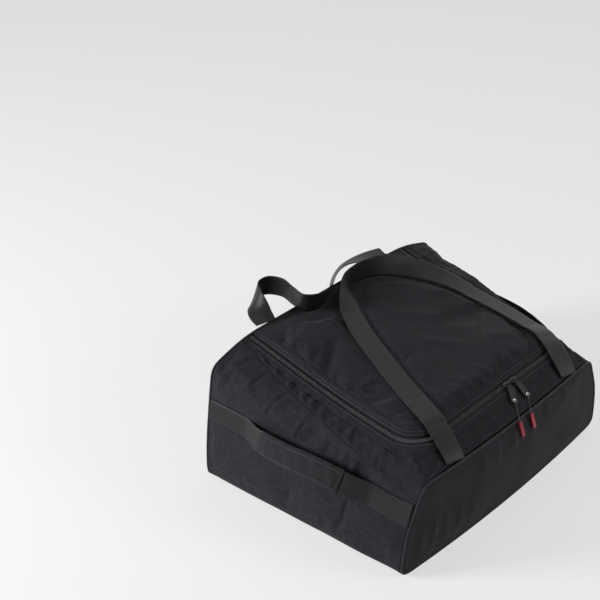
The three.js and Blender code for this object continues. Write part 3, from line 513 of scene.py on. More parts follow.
def finish_piece(name, mesh, material, replaces, body):
    """Makes an object of a mesh, gives it its finish and body, and hides the solids it replaces."""
    mesh.polygons.foreach_set("use_smooth", np.full(len(mesh.polygons), True))
    mesh.materials.append(material)
    piece = new_object(name, mesh)
    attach(piece, body)
    if replaces:
        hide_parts(*replaces)
    return piece


def add_piece(name, points, faces, material, slot, replaces=(), body="bag", uv=None):
    """Puts points and faces into a mesh, turns all faces outwards, and gives it body and finish."""
    mesh = bpy.data.meshes.new(name)
    mesh.from_pydata(to_metres(points).tolist(), [], [list(f) for f in faces])
    if uv is not None:
        layer = mesh.uv_layers.new(name="cloth")
        corner = np.empty(len(mesh.loops), dtype=np.int32)
        mesh.loops.foreach_get("vertex_index", corner)
        layer.data.foreach_set("uv", np.asarray(uv, np.float32)[corner].ravel())
    turned = bmesh.new()
    turned.from_mesh(mesh)
    bmesh.ops.recalc_face_normals(turned, faces=turned.faces)
    turned.to_mesh(mesh)
    turned.free()
    piece_triangles[name] = sum(len(p.vertices) - 2 for p in mesh.polygons)
    return finish_piece(name, mesh, material, replaces, body)


def layered(outer, inner, uv, ringed=False):
    """Closed wall of two grids with a rounded rim: points, faces and UVs."""
    rows, columns = outer.shape[:2]
    layers = [outer.reshape(-1, 3), inner.reshape(-1, 3)]
    faces = [grid_faces(rows, columns, close_columns=ringed)]
    faces.append(grid_faces(rows, columns, close_columns=ringed, start=rows * columns))
    index = np.arange(rows * columns).reshape(rows, columns)
    if ringed:
        loops = [(index[0], outer[1]), (index[-1], outer[-2])]
    else:
        edge = np.concatenate([index[0], index[1:, -1], index[-1, -2::-1], index[-2:0:-1, 0]])
        within = np.clip(edge // columns, 1, rows - 2) * columns + np.clip(edge % columns, 1, columns - 2)
        loops = [(edge, outer.reshape(-1, 3)[within])]
    uvs = [uv.reshape(-1, 2), uv.reshape(-1, 2)]
    count = 2 * rows * columns
    for edge, within in loops:
        top, low = layers[0][edge], layers[1][edge]
        outward = unit(top - within)
        thick = np.linalg.norm(top - low, axis=-1, keepdims=True)
        layers.append((top + low) / 2 + outward * np.minimum(thick * 0.4, 0.45))
        uvs.append(uvs[0][edge])
        middle = count + np.arange(len(edge))
        around = lambda line: np.roll(line, -1)
        faces.append(np.stack([edge, around(edge), around(middle), middle], -1))
        low_edge = edge + rows * columns
        faces.append(np.stack([middle, around(middle), around(low_edge), low_edge], -1))
        count += len(edge)
    return np.vstack(layers), np.vstack(faces), np.vstack(uvs)


def grid_normal(points):
    """The step down a grid crossed with the step across it."""
    return unit(np.cross(np.gradient(points, axis=0), np.gradient(points, axis=1)))


def inward(points, thickness):
    """The inner layer: each point moved against the grid's own normal by the thickness."""
    return points - grid_normal(points) * thickness


def sheet_piece(name, outer, inner, uv, material, node, slot, ringed=False):
    """A closed wall between two grids, as one piece."""
    points, faces, uvs = layered(outer, inner, uv, ringed)
    return add_piece(name, points, faces, material, slot, (node,), uv=uvs)


# %% [markdown]
# ## Weave, streaks and dust
# The shell is a plain weave of spun yarn. Close up it shows crossing threads, and from a step
# away uneven darker and lighter yarns. A node group makes both from UV lengths, and puts out
# one mask for the colour and one height for the bump, so that every cloth on the bag can use
# it with its own thread size.

# %% Node groups


def new_group(name, inputs, outputs):
    """An empty shader group with named float or vector sockets."""
    group = bpy.data.node_groups.new(name, "ShaderNodeTree")
    for label, kind, value in inputs:
        socket = group.interface.new_socket(label, in_out="INPUT", socket_type=kind)
        if value is not None:
            socket.default_value = value
    for label in outputs:
        group.interface.new_socket(label, in_out="OUTPUT", socket_type="NodeSocketFloat")
    entry = group.nodes.new("NodeGroupInput")
    leave = group.nodes.new("NodeGroupOutput")
    return group, entry, leave


def math_node(tree, operation, a, b=0.0):
    """A Math node whose inputs are sockets or numbers."""
    node = tree.nodes.new("ShaderNodeMath")
    node.operation = operation
    for socket, value in zip(node.inputs, (a, b)):
        if hasattr(value, "is_output"):
            tree.links.new(value, socket)
        else:
            socket.default_value = value
    return node.outputs[0]


def noise_node(tree, vector, scale, detail=2.0, rough=0.5):
    """A Noise Texture read along a vector."""
    node = tree.nodes.new("ShaderNodeTexNoise")
    node.inputs["Scale"].default_value = scale
    node.inputs["Detail"].default_value = detail
    node.inputs["Roughness"].default_value = rough
    tree.links.new(vector, node.inputs["Vector"])
    return node.outputs["Fac"]


def stretched(tree, vector, scale):
    """A vector scaled on each axis by a Mapping node."""
    node = tree.nodes.new("ShaderNodeMapping")
    node.inputs["Scale"].default_value = scale
    tree.links.new(vector, node.inputs["Vector"])
    return node.outputs[0]


weave, inside, outside = new_group(
    "woven_threads",
    [("Vector", "NodeSocketVector", None), ("Threads per metre", "NodeSocketFloat", 1500.0)],
    ["Height", "Streaks", "Patches"],
)
split = weave.nodes.new("ShaderNodeSeparateXYZ")
weave.links.new(inside.outputs["Vector"], split.inputs[0])
angle_step = math_node(weave, "MULTIPLY", inside.outputs["Threads per metre"], math.pi)
waves = [
    math_node(weave, "SINE", math_node(weave, "MULTIPLY", direction, angle_step))
    for direction in split.outputs[:2]
]
crossing = math_node(weave, "MULTIPLY", *waves)
yarns = [
    noise_node(weave, stretched(weave, inside.outputs["Vector"], scale), 360.0, 3.0, 0.75)
    for scale in ((1.0, 0.12, 1.0), (0.12, 1.0, 1.0))
]
streaks = math_node(weave, "MULTIPLY", math_node(weave, "ADD", *yarns), 0.5)
weave.links.new(math_node(weave, "MULTIPLY_ADD", crossing, 0.35), outside.inputs["Height"])
weave.links.new(streaks, outside.inputs["Streaks"])
weave.links.new(noise_node(weave, inside.outputs["Vector"], 14.0, 4.0, 0.6), outside.inputs["Patches"])

ribs, inside, outside = new_group(
    "webbing_ribs",
    [("Vector", "NodeSocketVector", None), ("Ribs per metre", "NodeSocketFloat", 420.0)],
    ["Height", "Yarn"],
)
split = ribs.nodes.new("ShaderNodeSeparateXYZ")
ribs.links.new(inside.outputs["Vector"], split.inputs[0])
turns = math_node(ribs, "MULTIPLY", inside.outputs["Ribs per metre"], math.tau)
lean = math_node(ribs, "MULTIPLY", split.outputs[0], 0.45)
slants = [math_node(ribs, operation, split.outputs[1], lean) for operation in ("ADD", "SUBTRACT")]
waves = [math_node(ribs, "SINE", math_node(ribs, "MULTIPLY", slant, turns)) for slant in slants]
ribs.links.new(math_node(ribs, "MAXIMUM", *waves), outside.inputs["Height"])
ribs.links.new(noise_node(ribs, stretched(ribs, inside.outputs["Vector"], (0.05, 1.0, 1.0)), 900.0, 2.0),
               outside.inputs["Yarn"])
print("groups:", [group.name for group in bpy.data.node_groups])

# %% [markdown]
# ## Finishes
# The shell is a dark charcoal polyester, matt with a faint sheen at glancing angles. The
# webbing is smoother and shines a little more. The coil's colour is painted pale as a stand-in for its
# glints, and the dark tapes are painted darker still as the shade of the hems over them. The sliders
# are black lacquered metal, the eyelets bright steel, and the tags red rubber.

# %% Material helpers


def principled(name, base, roughness, metallic=0.0, sheen=0.0, sheen_rough=0.5, coat=0.0, specular=0.5):
    """A material with its Principled shader, and plain values on the sockets."""
    material = bpy.data.materials.new(name)
    material.use_nodes = True
    shader = material.node_tree.nodes["Principled BSDF"]
    for socket, value in (
        ("Base Color", (*base, 1)), ("Roughness", roughness), ("Metallic", metallic), ("Sheen Weight", sheen),
        ("Sheen Roughness", sheen_rough), ("Coat Weight", coat), ("Specular IOR Level", specular),
    ):
        shader.inputs[socket].default_value = value
    return material, material.node_tree, shader


def tint(tree, shader, mask, dark, light, low=0.3, high=0.7):
    """Colours a shader by a ramp from dark to light over part of a mask."""
    ramp = tree.nodes.new("ShaderNodeValToRGB")
    ramp.color_ramp.elements[0].position, ramp.color_ramp.elements[1].position = low, high
    ramp.color_ramp.elements[0].color, ramp.color_ramp.elements[1].color = (*dark, 1), (*light, 1)
    tree.links.new(mask, ramp.inputs[0])
    tree.links.new(ramp.outputs[0], shader.inputs["Base Color"])


def roughen(tree, shader, mask, gain, least):
    """Roughness: gain times the mask, plus the least value."""
    rough = math_node(tree, "ADD", math_node(tree, "MULTIPLY", mask, gain), least)
    tree.links.new(rough, shader.inputs["Roughness"])


def add_bump(tree, shader, height, strength, distance):
    """A Bump node between a height and the shader's normal."""
    bump = tree.nodes.new("ShaderNodeBump")
    bump.inputs["Strength"].default_value = strength
    bump.inputs["Distance"].default_value = distance
    tree.links.new(height, bump.inputs["Height"])
    tree.links.new(bump.outputs[0], shader.inputs["Normal"])


def group_in(tree, group, vector, per_metre):
    """Places a group, reads it along a vector and sets its threads or ribs per metre."""
    node = tree.nodes.new("ShaderNodeGroup")
    node.node_tree = group
    tree.links.new(vector, node.inputs["Vector"])
    node.inputs[1].default_value = per_metre
    return node


def direct_rays(tree):
    """1 for camera, mirror and glass rays, 0 for the light that falls on things."""
    rays = tree.nodes.new("ShaderNodeLightPath").outputs
    seen = math_node(tree, "MAXIMUM", rays["Is Camera Ray"], rays["Is Glossy Ray"])
    return math_node(tree, "MAXIMUM", seen, rays["Is Transmission Ray"])


def mix_into(tree, output, share, plain, bright):
    """Sends a mix of two shaders to a tree's output."""
    mixer = tree.nodes.new("ShaderNodeMixShader")
    for socket, source in enumerate((share, plain, bright)):
        tree.links.new(source, mixer.inputs[socket])
    tree.links.new(mixer.outputs[0], tree.nodes[output].inputs[0])


def coordinates(tree, kind):
    """UV or Object coordinates."""
    return tree.nodes.new("ShaderNodeTexCoord").outputs[kind]


def cloth_material(name, dark, light, threads, roughness, sheen, relief=0.00035):
    """Woven cloth: streaks and patches in the colour, thread crossings in the bump."""
    material, tree, shader = principled(name, light, roughness, sheen=sheen, sheen_rough=0.45, specular=0.12)
    node = group_in(tree, weave, coordinates(tree, "UV"), threads)
    mixed = math_node(tree, "ADD", math_node(tree, "MULTIPLY", node.outputs["Streaks"], 0.8),
                      math_node(tree, "MULTIPLY", node.outputs["Patches"], 0.2))
    tint(tree, shader, mixed, dark, light, 0.38, 0.62)
    roughen(tree, shader, node.outputs["Patches"], 0.16, roughness - 0.08)
    relief_height = math_node(tree, "ADD", node.outputs["Height"], node.outputs["Streaks"])
    add_bump(tree, shader, relief_height, 0.6, relief)
    return material


def ribbed_material(name, base, roughness, per_metre, dark, light, relief, **facts):
    """Webbing or cord: yarns in the colour, crossing ribs in the bump."""
    material, tree, shader = principled(name, base, roughness, **facts)
    node = group_in(tree, ribs, coordinates(tree, "UV"), per_metre)
    tint(tree, shader, node.outputs["Yarn"], dark, light)
    add_bump(tree, shader, node.outputs["Height"], relief, 0.0003)
    return material


def speckled_material(
    name, base, roughness, noise, dark, light, span=(0.3, 0.7), wear=None, relief=None, **facts
):
    """Nylon, metal or rubber: one noise for the colour, and for wear or relief where they are given."""
    material, tree, shader = principled(name, base, roughness, **facts)
    grain = noise_node(tree, coordinates(tree, "Object"), *noise)
    tint(tree, shader, grain, dark, light, *span)
    if wear:
        roughen(tree, shader, grain, *wear)
    if relief:
        add_bump(tree, shader, grain, relief, 0.0002)
    return material


# %% Materials
shell = cloth_material("shell_cloth", (0.006, 0.0058, 0.0076), (0.026, 0.0252, 0.0312), 1500, 0.76, 0.04)
grip_cloth = cloth_material("grip_cloth", (0.009, 0.0088, 0.0105), (0.026, 0.0255, 0.030), 1300, 0.8, 0.05)
piping_cloth = cloth_material("piping_cloth", (0.014, 0.014, 0.0165), (0.034, 0.034, 0.040), 1800, 0.5, 0.08)
# Painted shade: the tapes' own dark colour is darkened further to stand in for the shade the hems cast over the
# zip.
tape_cloth_painted_shade = cloth_material("tape_cloth_painted_shade", (0.010, 0.010, 0.0115), (0.024, 0.024, 0.0275), 2200, 0.6, 0.05)

strap = ribbed_material(
    "webbing", (0.012, 0.012, 0.014), 0.36, 420, (0.006, 0.006, 0.0072), (0.0165, 0.0165, 0.0195), 0.35,
    specular=0.18,
)
# Painted highlight: the coil is coloured pale to stand in for the glints on its turns; the wire itself is dark.
coil = speckled_material(
    "coil_nylon_painted_highlight", (0.06, 0.06, 0.066), 0.3, (90.0,), (0.09, 0.09, 0.098), (0.15, 0.15, 0.162), specular=0.5,
)
# Partly thread colour, partly painted highlight: the thread is paler than the cloth so the hem rows read as
# bright lines along the zip.
thread = speckled_material(
    "stitch_thread_with_painted_highlight", (0.05, 0.05, 0.056), 0.5, (1400.0,), (0.05, 0.05, 0.055), (0.125, 0.125, 0.138), sheen=0.1,
)
lacquer = speckled_material(
    "slider_metal", (0.012, 0.012, 0.013), 0.26, (420.0, 4.0, 0.6), (0.008, 0.008, 0.009), (0.03, 0.03, 0.032),
    span=(0.5, 0.75), wear=(0.2, 0.16), metallic=0.2, coat=0.4,
)
steel = speckled_material(
    "eyelet_metal", (0.62, 0.63, 0.64), 0.22, (600.0, 3.0), (0.5, 0.51, 0.52), (0.74, 0.75, 0.76),
    span=(0.35, 0.65), wear=(0.25, 0.1), metallic=1.0,
)
rubber = speckled_material(
    "tab_rubber", (0.012, 0.012, 0.013), 0.5, (1600.0, 3.0), (0.008, 0.008, 0.009), (0.016, 0.016, 0.018),
    span=(0.35, 0.65), relief=0.3, specular=0.22,
)
cord_nylon = ribbed_material(
    "cord_nylon", (0.03, 0.03, 0.034), 0.55, 900, (0.016, 0.016, 0.018), (0.055, 0.055, 0.06), 0.8, sheen=0.15,
)
red = speckled_material(
    "tag_rubber", (0.36, 0.01, 0.03), 0.3, (700.0, 4.0), (0.26, 0.005, 0.022), (0.48, 0.012, 0.045),
    relief=0.2, specular=0.14, coat=0.06,
)
print("materials:", len(bpy.data.materials))

# %% [markdown]
# ## Letting the cloth settle
# The formulas give the panels their main folds. A short cloth simulation then lets each panel
# find its own small buckles: its seams are held, the cloth is cut a little too large, a light
# pressure from inside pushes it out, and nothing may move further than a few millimetres. Where
# a loop lies on the panel, the cloth may only move inwards.

# %% Cloth simulation


def settle(points, loose, normals, cover, extra, pressure, limit, frames=16):
    """Runs the cloth on one grid and gives back its points, moved by at most the limit.

    loose is 1 where the cloth is free and 0 where it is sewn; the move is multiplied by it. The
    outward part of the move is taken out where cover is 1, because something lies on the cloth.
    """
    rows, columns = points.shape[:2]
    start = points.reshape(-1, 3) / 1000
    mesh = bpy.data.meshes.new("settling")
    mesh.from_pydata(start.tolist(), [], grid_faces(rows, columns).tolist())
    sheet = new_object("settling", mesh)
    held = sheet.vertex_groups.new(name="held")
    held.add(np.flatnonzero(loose.ravel() < 0.05).tolist(), 1.0, "REPLACE")
    cloth = sheet.modifiers.new("cloth", "CLOTH")
    settings = cloth.settings
    settings.quality = 5
    settings.mass = 0.25
    settings.tension_stiffness = settings.compression_stiffness = 14
    settings.shear_stiffness = 6
    settings.bending_stiffness = 0.25
    settings.vertex_group_mass = "held"
    settings.shrink_min = settings.shrink_max = -extra
    settings.use_pressure = True
    settings.uniform_pressure_force = pressure
    settings.effector_weights.gravity = 0
    cloth.collision_settings.use_collision = False
    cloth.collision_settings.use_self_collision = False
    cloth.point_cache.frame_start, cloth.point_cache.frame_end = 1, frames
    for number in range(1, frames + 1):
        bpy.context.scene.frame_set(number)
    settled = sheet.evaluated_get(bpy.context.evaluated_depsgraph_get())
    moved = np.empty(len(start) * 3, dtype=np.float32)
    settled.data.vertices.foreach_get("co", moved)
    move = (moved.reshape(-1, 3) - start) * 1000
    size = np.linalg.norm(move, axis=1, keepdims=True)
    move *= np.minimum(1, limit / np.maximum(size, 1e-9)) * loose.reshape(-1, 1)
    bpy.data.objects.remove(sheet)
    bpy.data.meshes.remove(mesh)
    bpy.context.scene.frame_set(1)
    largest = float(np.linalg.norm(move, axis=1).max())
    print("   settled:", rows * columns, "points, largest move", round(largest, 2), "mm")
    move = move.reshape(points.shape)
    out = np.maximum(0, (move * normals).sum(-1, keepdims=True))
    return points + move - normals * out * cover[..., None]


def sewn_edges(points, width):
    """0 on the border of a grid, rising softly to 1 at a width in millimetres from it."""
    down, across = lengths(points, 0), lengths(points, 1)
    gap = np.minimum(np.minimum(down, down[-1:] - down), np.minimum(across, across[:, -1:] - across))
    return ease(gap / width)


# %% [markdown]
# ## The lid
# The lid is one piece of cloth inside the U of the zip, sewn into the back seam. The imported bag
# pushes it up into a pillow. Short folds run back from the zip at the nose, where the cloth is
# eased round the corner, and one soft crease crosses it near the back loop.

# %% Lid
LID_COLUMNS, LID_LEG_ROWS, LID_CORNER_ROWS = 124, 98, 26
GROOVE_DEPTH, GROOVE_WIDTH = 1.9, 1.4


def lid_folds(x, y):
    """Heights of the lid's folds: a slow swell, short folds from the zip at the nose, and creases."""
    nose_end = ZIP_NOSE_X - 12
    at_nose = [
        ((nose_end, place), (nose_end - length, place - slant), 7.5, height)
        for place, slant, length, height in (
            (-128, 9, 62, 4.0), (-98, 5, 80, 5.0), (-66, -4, 60, 4.2), (-34, 4, 76, 5.0),
            (-4, -5, 58, 4.0), (28, 6, 70, 4.4), (96, -6, 60, 4.0), (134, -9, 70, 4.4),
        )
    ]
    return swell(x, y, 3, 150, 1.5) * ease(x / 70) + creases(x, y, at_nose + [
        ((66, -116), (140, -82), 8, 5.0), ((150, 20), (300, 150), 16, 3.4), ((230, -20), (370, 90), 14, 3.0),
        ((120, 120), (230, 215), 14, 3.0), ((210, -205), (330, -170), 12, 3.0),
        ((60, -215), (150, -190), 11, 2.6), ((330, 120), (400, 190), 12, 3.0), ((72, -98), (134, -70), 9, -2.4),
    ])


def lid_surface(x, y):
    """Point of the lid: the wrap, plus the puff of the filling, plus the folds, sewn down at the hem.

    The facing of the zip is sewn on 20 mm inside the hem along the legs and 12 mm at the nose, and
    its seam draws a narrow groove.
    """
    puff = lid_puff(x, y)
    seam_at = blend(20.5, 12.0, ease((x - CORNER_X + 40) / 70))
    groove = np.exp(-(((inside_hem(x, y) - seam_at) / GROOVE_WIDTH) ** 2))
    puff = puff - GROOVE_DEPTH * groove * ease(x / 12)
    free = ease(puff / 8.2)
    cover = under_loops(x, y)
    folds = lid_folds(x, y) * free
    folds = np.where(folds > 0, folds * (1 - cover), folds * (1 - 0.6 * cover))
    return raised(*from_plan(x, y), puff + folds)


hem_radius = ZIP_CORNER - HEM_REACH
turn = np.linspace(0, math.pi / 2, LID_CORNER_ROWS)[1:]
leg_x = np.linspace(SEAM_SETBACK, CORNER_X, LID_LEG_ROWS)
row_x = np.concatenate([leg_x, CORNER_X + hem_radius * np.sin(turn)])
row_half = CORNER_Y + hem_radius * np.concatenate([np.ones(LID_LEG_ROWS), np.cos(turn)])
share = np.sin((np.arange(LID_COLUMNS + 1) / LID_COLUMNS - 0.5) * math.pi * 0.9) / math.sin(math.pi * 0.45)
plan_x, plan_y = np.broadcast_arrays(row_x[:, None], row_half[:, None] * share[None, :])
lid_points = lid_surface(plan_x, plan_y)
lid_normals = wrap_normal(*from_plan(plan_x, plan_y))
free = ease((lid_puff(plan_x, plan_y) - 6.2) / 2.2) * sewn_edges(lid_points, 24)
lid_points = settle(lid_points, free, lid_normals, under_loops(plan_x, plan_y), 0.035, 2.0, 6.0)
uv = np.stack([plan_x, plan_y], -1) / 1000
sheet_piece("lid_cloth", lid_points, inward(lid_points, PANEL), uv, shell, "lid_flap", "shell_cloth")
print("lid:", piece_triangles["lid_cloth"], "triangles")

# %% [markdown]
# ## The band round the zip
# Between the zip and the gathered diagonal seam lies the band. The seam is longer on the band's
# side, so its cloth stands up in small pleats that die out towards the zip.

# %% Top band
leg_runs = np.linspace(0, LEG, 112)
corner_runs = LEG + ARC * np.linspace(0, 1, 33)[1:]
nose_runs = LEG + ARC + CORNER_Y * np.linspace(0, 1, 46)[1:]
half_runs = np.concatenate([leg_runs, corner_runs, nose_runs])
band_runs = np.concatenate([half_runs, ZIP_RUN - half_runs[-2::-1]])
BAND_COLUMNS, SEAM_COLUMN, FACING, FACING_START = 36, 9, 34, TAPE_REACH + 1.5
PLEAT_HEIGHT, PLEAT_SPACING, PLEAT_REACH, SEAM_DEPTH = 8.0, 38, 24, 1.7
LEG_STEPS, CORNER_STEPS, NOSE_STEPS, SEAM_STEPS = 36, 6, 7, 39


def band_edge(run):
    """The (u, s) of the band's outer edge: along the gathered seam, then along the nose seam."""
    leg, angle, nose, far = track_parts(run)
    index = LEG_STEPS * leg / LEG + CORNER_STEPS * angle / (math.pi / 2) + NOSE_STEPS * nose / CORNER_Y
    u = wrap_u(np.minimum(index / SEAM_STEPS, 1))
    start = fold_seam(u) + step_in_s(u, fold_seam(u), SEAM_GAP / 2)
    rest = LEG_STEPS + CORNER_STEPS + NOSE_STEPS - SEAM_STEPS
    s = blend(start, TOP, np.clip((index - SEAM_STEPS) / rest, 0, 1))
    return u, np.where(far, 2 * TOP - s, s)


def band_grid():
    """Hem columns at fixed distances from the track, then a straight mix in u and s to the edge."""
    hem = [on_track(band_runs, distance) for distance in (HEM_REACH, 11.5, 13.5, 15.5, 17.3)]
    back_u, back_s = from_plan(*beside_track(band_runs, FACING_START))
    edge_u, edge_s = band_edge(band_runs)
    mixed = lambda t: (blend(back_u[:, None], edge_u[:, None], t), blend(back_s[:, None], edge_s[:, None], t))
    width = lengths(wrap_point(*mixed(np.linspace(0, 1, 12)[None, :])), 1)[:, -1:]
    seam_at = np.minimum(FACING - FACING_START, width * 0.42) / width
    narrow = 1.5 / width
    t = np.concatenate([
        (seam_at - narrow) * np.linspace(0, 1, SEAM_COLUMN), seam_at,
        seam_at + narrow + (1 - seam_at - narrow) * np.linspace(0, 1, BAND_COLUMNS),
    ], 1)
    u, s = mixed(t)
    base = wrap_point(u, s)
    leg, angle, nose, far = track_parts(band_runs)
    from_edge = lengths(base, 1)[:, -1:] - lengths(base, 1)
    beyond = lengths(base, 1) - seam_at * width
    along = base[..., 0]
    weight = np.cos(angle)[:, None] * ease(along / 22) * (1 - 0.5 * ease((along - 230) / 150))
    run = along + 0.24 * from_edge
    pleats = np.where(far[:, None], gathers(run, 12, PLEAT_SPACING), gathers(run, 11, PLEAT_SPACING))
    rise = ease(beyond / 5) * np.exp(-np.maximum(beyond, 0) / PLEAT_REACH)
    height = PLEAT_HEIGHT * pleats * rise * weight * ease(from_edge / 10)
    height = height + swell(base[..., 0], base[..., 1], 5, 120, 0.9) * ease(from_edge / 24) * ease(beyond / 10)
    height[:, SEAM_COLUMN] -= SEAM_DEPTH
    cover = under_loops(base[..., 0], base[..., 1])
    height = np.where(height > 0, height * (1 - cover), height)
    return np.concatenate([np.stack(hem, 1), raised(u, s, height)], 1)


band_points = band_grid()
cover = under_loops(band_points[..., 0], band_points[..., 1])
band_normals = grid_normal(band_points)
flip = np.sign(band_normals[60, 15, 2])
band_points = settle(band_points, sewn_edges(band_points, 22), band_normals * flip, cover, 0.025, 1.0, 3.0)
sheet_piece("band_cloth", band_points, inward(band_points, PANEL * flip), cloth_uv(band_points),
            shell, "top_band", "shell_cloth")
print("band:", piece_triangles["band_cloth"], "triangles")

# %% [markdown]
# ## End panels
# Each end panel runs from the base seam up the side and over the ridge to the gathered seam.
# It is pulled flat at its seams and swells slowly between them. Round its foot the filling
# presses it smooth, and the floor holds it up, so no point of it goes below the floor.

# %% End panels
SIDES = (("near", False), ("far", True))
END_ROWS, END_COLUMNS, FOOT_RUN = 130, 84, 70
GRIP_START, GRIP_END, GRIP_RUN_UP = 158, 352, 62
SIDE_BACK_Z, SIDE_GRIP_Z, SIDE_NOSE_Z = 178, 170, 142


def side_height(x):
    """Height of a side handle's middle line: it eases down from the back to the grip to the nose."""
    middle = (GRIP_START + GRIP_END) / 2
    return np.where(
        x < middle,
        blend(SIDE_BACK_Z, SIDE_GRIP_Z, ease(x / middle)),
        blend(SIDE_GRIP_Z, SIDE_NOSE_Z, ease((x - middle) / (BAG_LENGTH - middle))),
    )


def under_side_strap(x, z):
    """1 where the side webbing lies on the panel, 0 beside it and behind the grip."""
    held = 1 - ease((x - GRIP_START + GRIP_RUN_UP) / 40) * ease((GRIP_END + GRIP_RUN_UP - x) / 40)
    return (1 - ease((np.abs(z - side_height(x)) - 27) / 14)) * held


def end_grid(far):
    """The wrap between base seam and gathered seam, with slow swells and small pleats at the top."""
    u = wrap_u(np.linspace(0, 1, END_ROWS))[:, None]
    top = fold_seam(u)
    low = step_in_s(u, np.zeros_like(u), SEAM_GAP / 2)
    high = top - step_in_s(u, top, SEAM_GAP / 2)
    s = blend(low, high, np.linspace(0, 1, END_COLUMNS)[None, :])
    base = wrap_point(u, s)
    across = lengths(base, 1)
    from_top = across[:, -1:] - across
    along = base[..., 0]
    sewn = ease(across / FOOT_RUN) * ease(from_top / 14) * ease(along / 22) * ease((BAG_LENGTH - along) / 22)
    pleats = gathers(along + 0.2 * from_top, 21 + far, 58) * np.exp(-from_top / 24) * ease(from_top / 5)
    height = swell(along, across, 7 + far, 170, 1.3) * sewn
    height = height + 2.2 * pleats * ease(along / 30) * ease((480 - along) / 60)
    height = height + sewn * creases(along, across, (
        ((30, 60), (170, 95), 18, 2.2), ((300, 40), (440, 110), 20, 2.4), ((60, 210), (150, 250), 14, 2.0),
    ))
    height = np.where(height > 0, height * (1 - under_side_strap(along, base[..., 2])), height)
    return raised(u, np.where(far, 2 * TOP - s, s), height)


for side, far in SIDES:
    points = end_grid(far)
    outward = grid_normal(points)
    sign = np.sign(outward[60, 40, 1] * (1 if far else -1))
    cover = under_side_strap(points[..., 0], points[..., 2])
    loose = sewn_edges(points, 26) * ease(points[..., 2] / FOOT_RUN)
    points = settle(points, loose, outward * sign, cover, 0.022, 1.2, 4.0)
    points[..., 2] = np.maximum(points[..., 2], 0)
    sheet_piece(f"{side}_end_cloth", points, inward(points, PANEL * sign), cloth_uv(points),
                shell, f"{side}_end_panel", "shell_cloth")
print("end panels:", piece_triangles["near_end_cloth"], "triangles each")

# %% [markdown]
# ## Base, back and nose
# The base is flat and stands on the floor. The back and the nose are panels inside the piping
# loops, pushed out by the filling. Their grid is rings that shrink from the seam to the middle.

# %% Base
BASE_THICK = 3.2


def base_grid(height):
    """Flat cloth between the two bottom roundings."""
    u = wrap_u(np.linspace(0, 1, 52))[:, None]
    half = blend(BACK["base"], NOSE["base"], u) - BOTTOM_ROUNDING - SEAM_GAP
    y = half * np.linspace(-1, 1, 70)[None, :]
    return np.stack(np.broadcast_arrays(seam_x(u, y), y, height), -1)


lower = base_grid(0.0)
sheet_piece("base_cloth", base_grid(BASE_THICK), lower, cloth_uv(lower), shell, "base_panel", "shell_cloth")

# %% Seam loops and face panels
PIPING_INSET, PIPING_LIFT = 0.8, 0.2


def seam_loop(u, inset, foot, steps=330, base_steps=110):
    """Closed line of an end seam: over the wrap below its surface, then back along the base."""
    s = np.linspace(0, 2 * TOP, steps)
    drop = blend(foot, inset, ease(np.minimum(s, 2 * TOP - s) / 3))
    over = raised(np.full_like(s, u), s, -drop)
    y = blend(over[-1, 1], over[0, 1], np.linspace(0, 1, base_steps + 2)[1:-1])
    return np.vstack([over, np.column_stack([seam_x(u, y), y, np.full_like(y, foot)])])


def face_grid(u, bulge, direction, folds):
    """Rings from the seam to the middle; the bulge falls with the square of the way out."""
    rim = seam_loop(u, PIPING_INSET + PIPING_RADIUS + SEAM_GAP, 2 * PIPING_RADIUS + PIPING_LIFT + SEAM_GAP)
    centre = np.array([u * BAG_LENGTH, 0, rim[:, 2].max() / 2])
    share = (1 - np.linspace(0, 1, 42)[:-1] ** 1.1)[:, None, None]
    rings = blend(centre, rim[None], share)
    rings[..., 0] = blend(centre[0] + direction * bulge, rim[None, :, 0], share[..., 0] ** 2)
    inside_seam = ease((1 - share[..., 0]) / 0.12)
    rings[..., 0] += direction * folds(rings[..., 1], rings[..., 2]) * inside_seam
    return rings


def face_panel(name, node, rings, direction):
    """Two layers of rings, each closed by a point in the middle, joined at the seam."""
    count, around = rings.shape[:2]
    offset = np.array([direction * PANEL / 2, 0, 0])
    layers, faces = [], []
    for layer, shift in enumerate((offset, -offset)):
        start = layer * (count * around + 1)
        middle = rings[-1].mean(0) + shift
        layers += [(rings + shift).reshape(-1, 3), middle[None]]
        faces += grid_faces(count, around, close_columns=True, start=start).tolist()
        last = start + (count - 1) * around
        faces += [[last + j, last + (j + 1) % around, start + count * around] for j in range(around)]
    rim = np.arange(around)
    low = rim + count * around + 1
    faces += np.stack([rim, np.roll(rim, -1), np.roll(low, -1), low], -1).tolist()
    points = np.vstack(layers)
    add_piece(name, points, faces, shell, "shell_cloth", (node,), uv=points[:, 1:] / 1000)


def nose_folds(y, z):
    """Upright folds where the nose is eased into its near corner, and a slow swell elsewhere."""
    rows = [(place, 12, place + lean, 128, height) for place, lean, height in (
        (-300, 8, 2.6), (-268, 12, 3.4), (-232, 10, 2.8), (-190, 14, 2.4), (-146, 8, 1.8),
    )]
    rows += [(place, 205, place + 8, 130, height) for place, height in (
        (-120, 2.2), (-70, 2.0), (-15, 2.4), (48, 2.0), (110, 2.2), (176, 2.0),
    )]
    folds = creases(y, z, [((a, b), (c, d), 9, height) for a, b, c, d, height in rows])
    return swell(y, z, 31, 150, 1.3) + folds


def back_folds(y, z):
    """The back hangs free of folds; only the filling shows."""
    return swell(y, z, 33, 170, 1.2)


face_panel("nose_cloth", "nose_panel", face_grid(1.0, 22, 1, nose_folds), 1)
face_panel("back_cloth", "back_panel", face_grid(0.0, 10, -1, back_folds), -1)
print("nose:", piece_triangles["nose_cloth"], "back:", piece_triangles["back_cloth"], "triangles")

# %% [markdown]
# ## Piping
# A cord in a bias-cut strip of cloth edges both end seams. It is a tube along the seam, with
# the slight unevenness of cloth drawn round a cord.

# %% Tubes


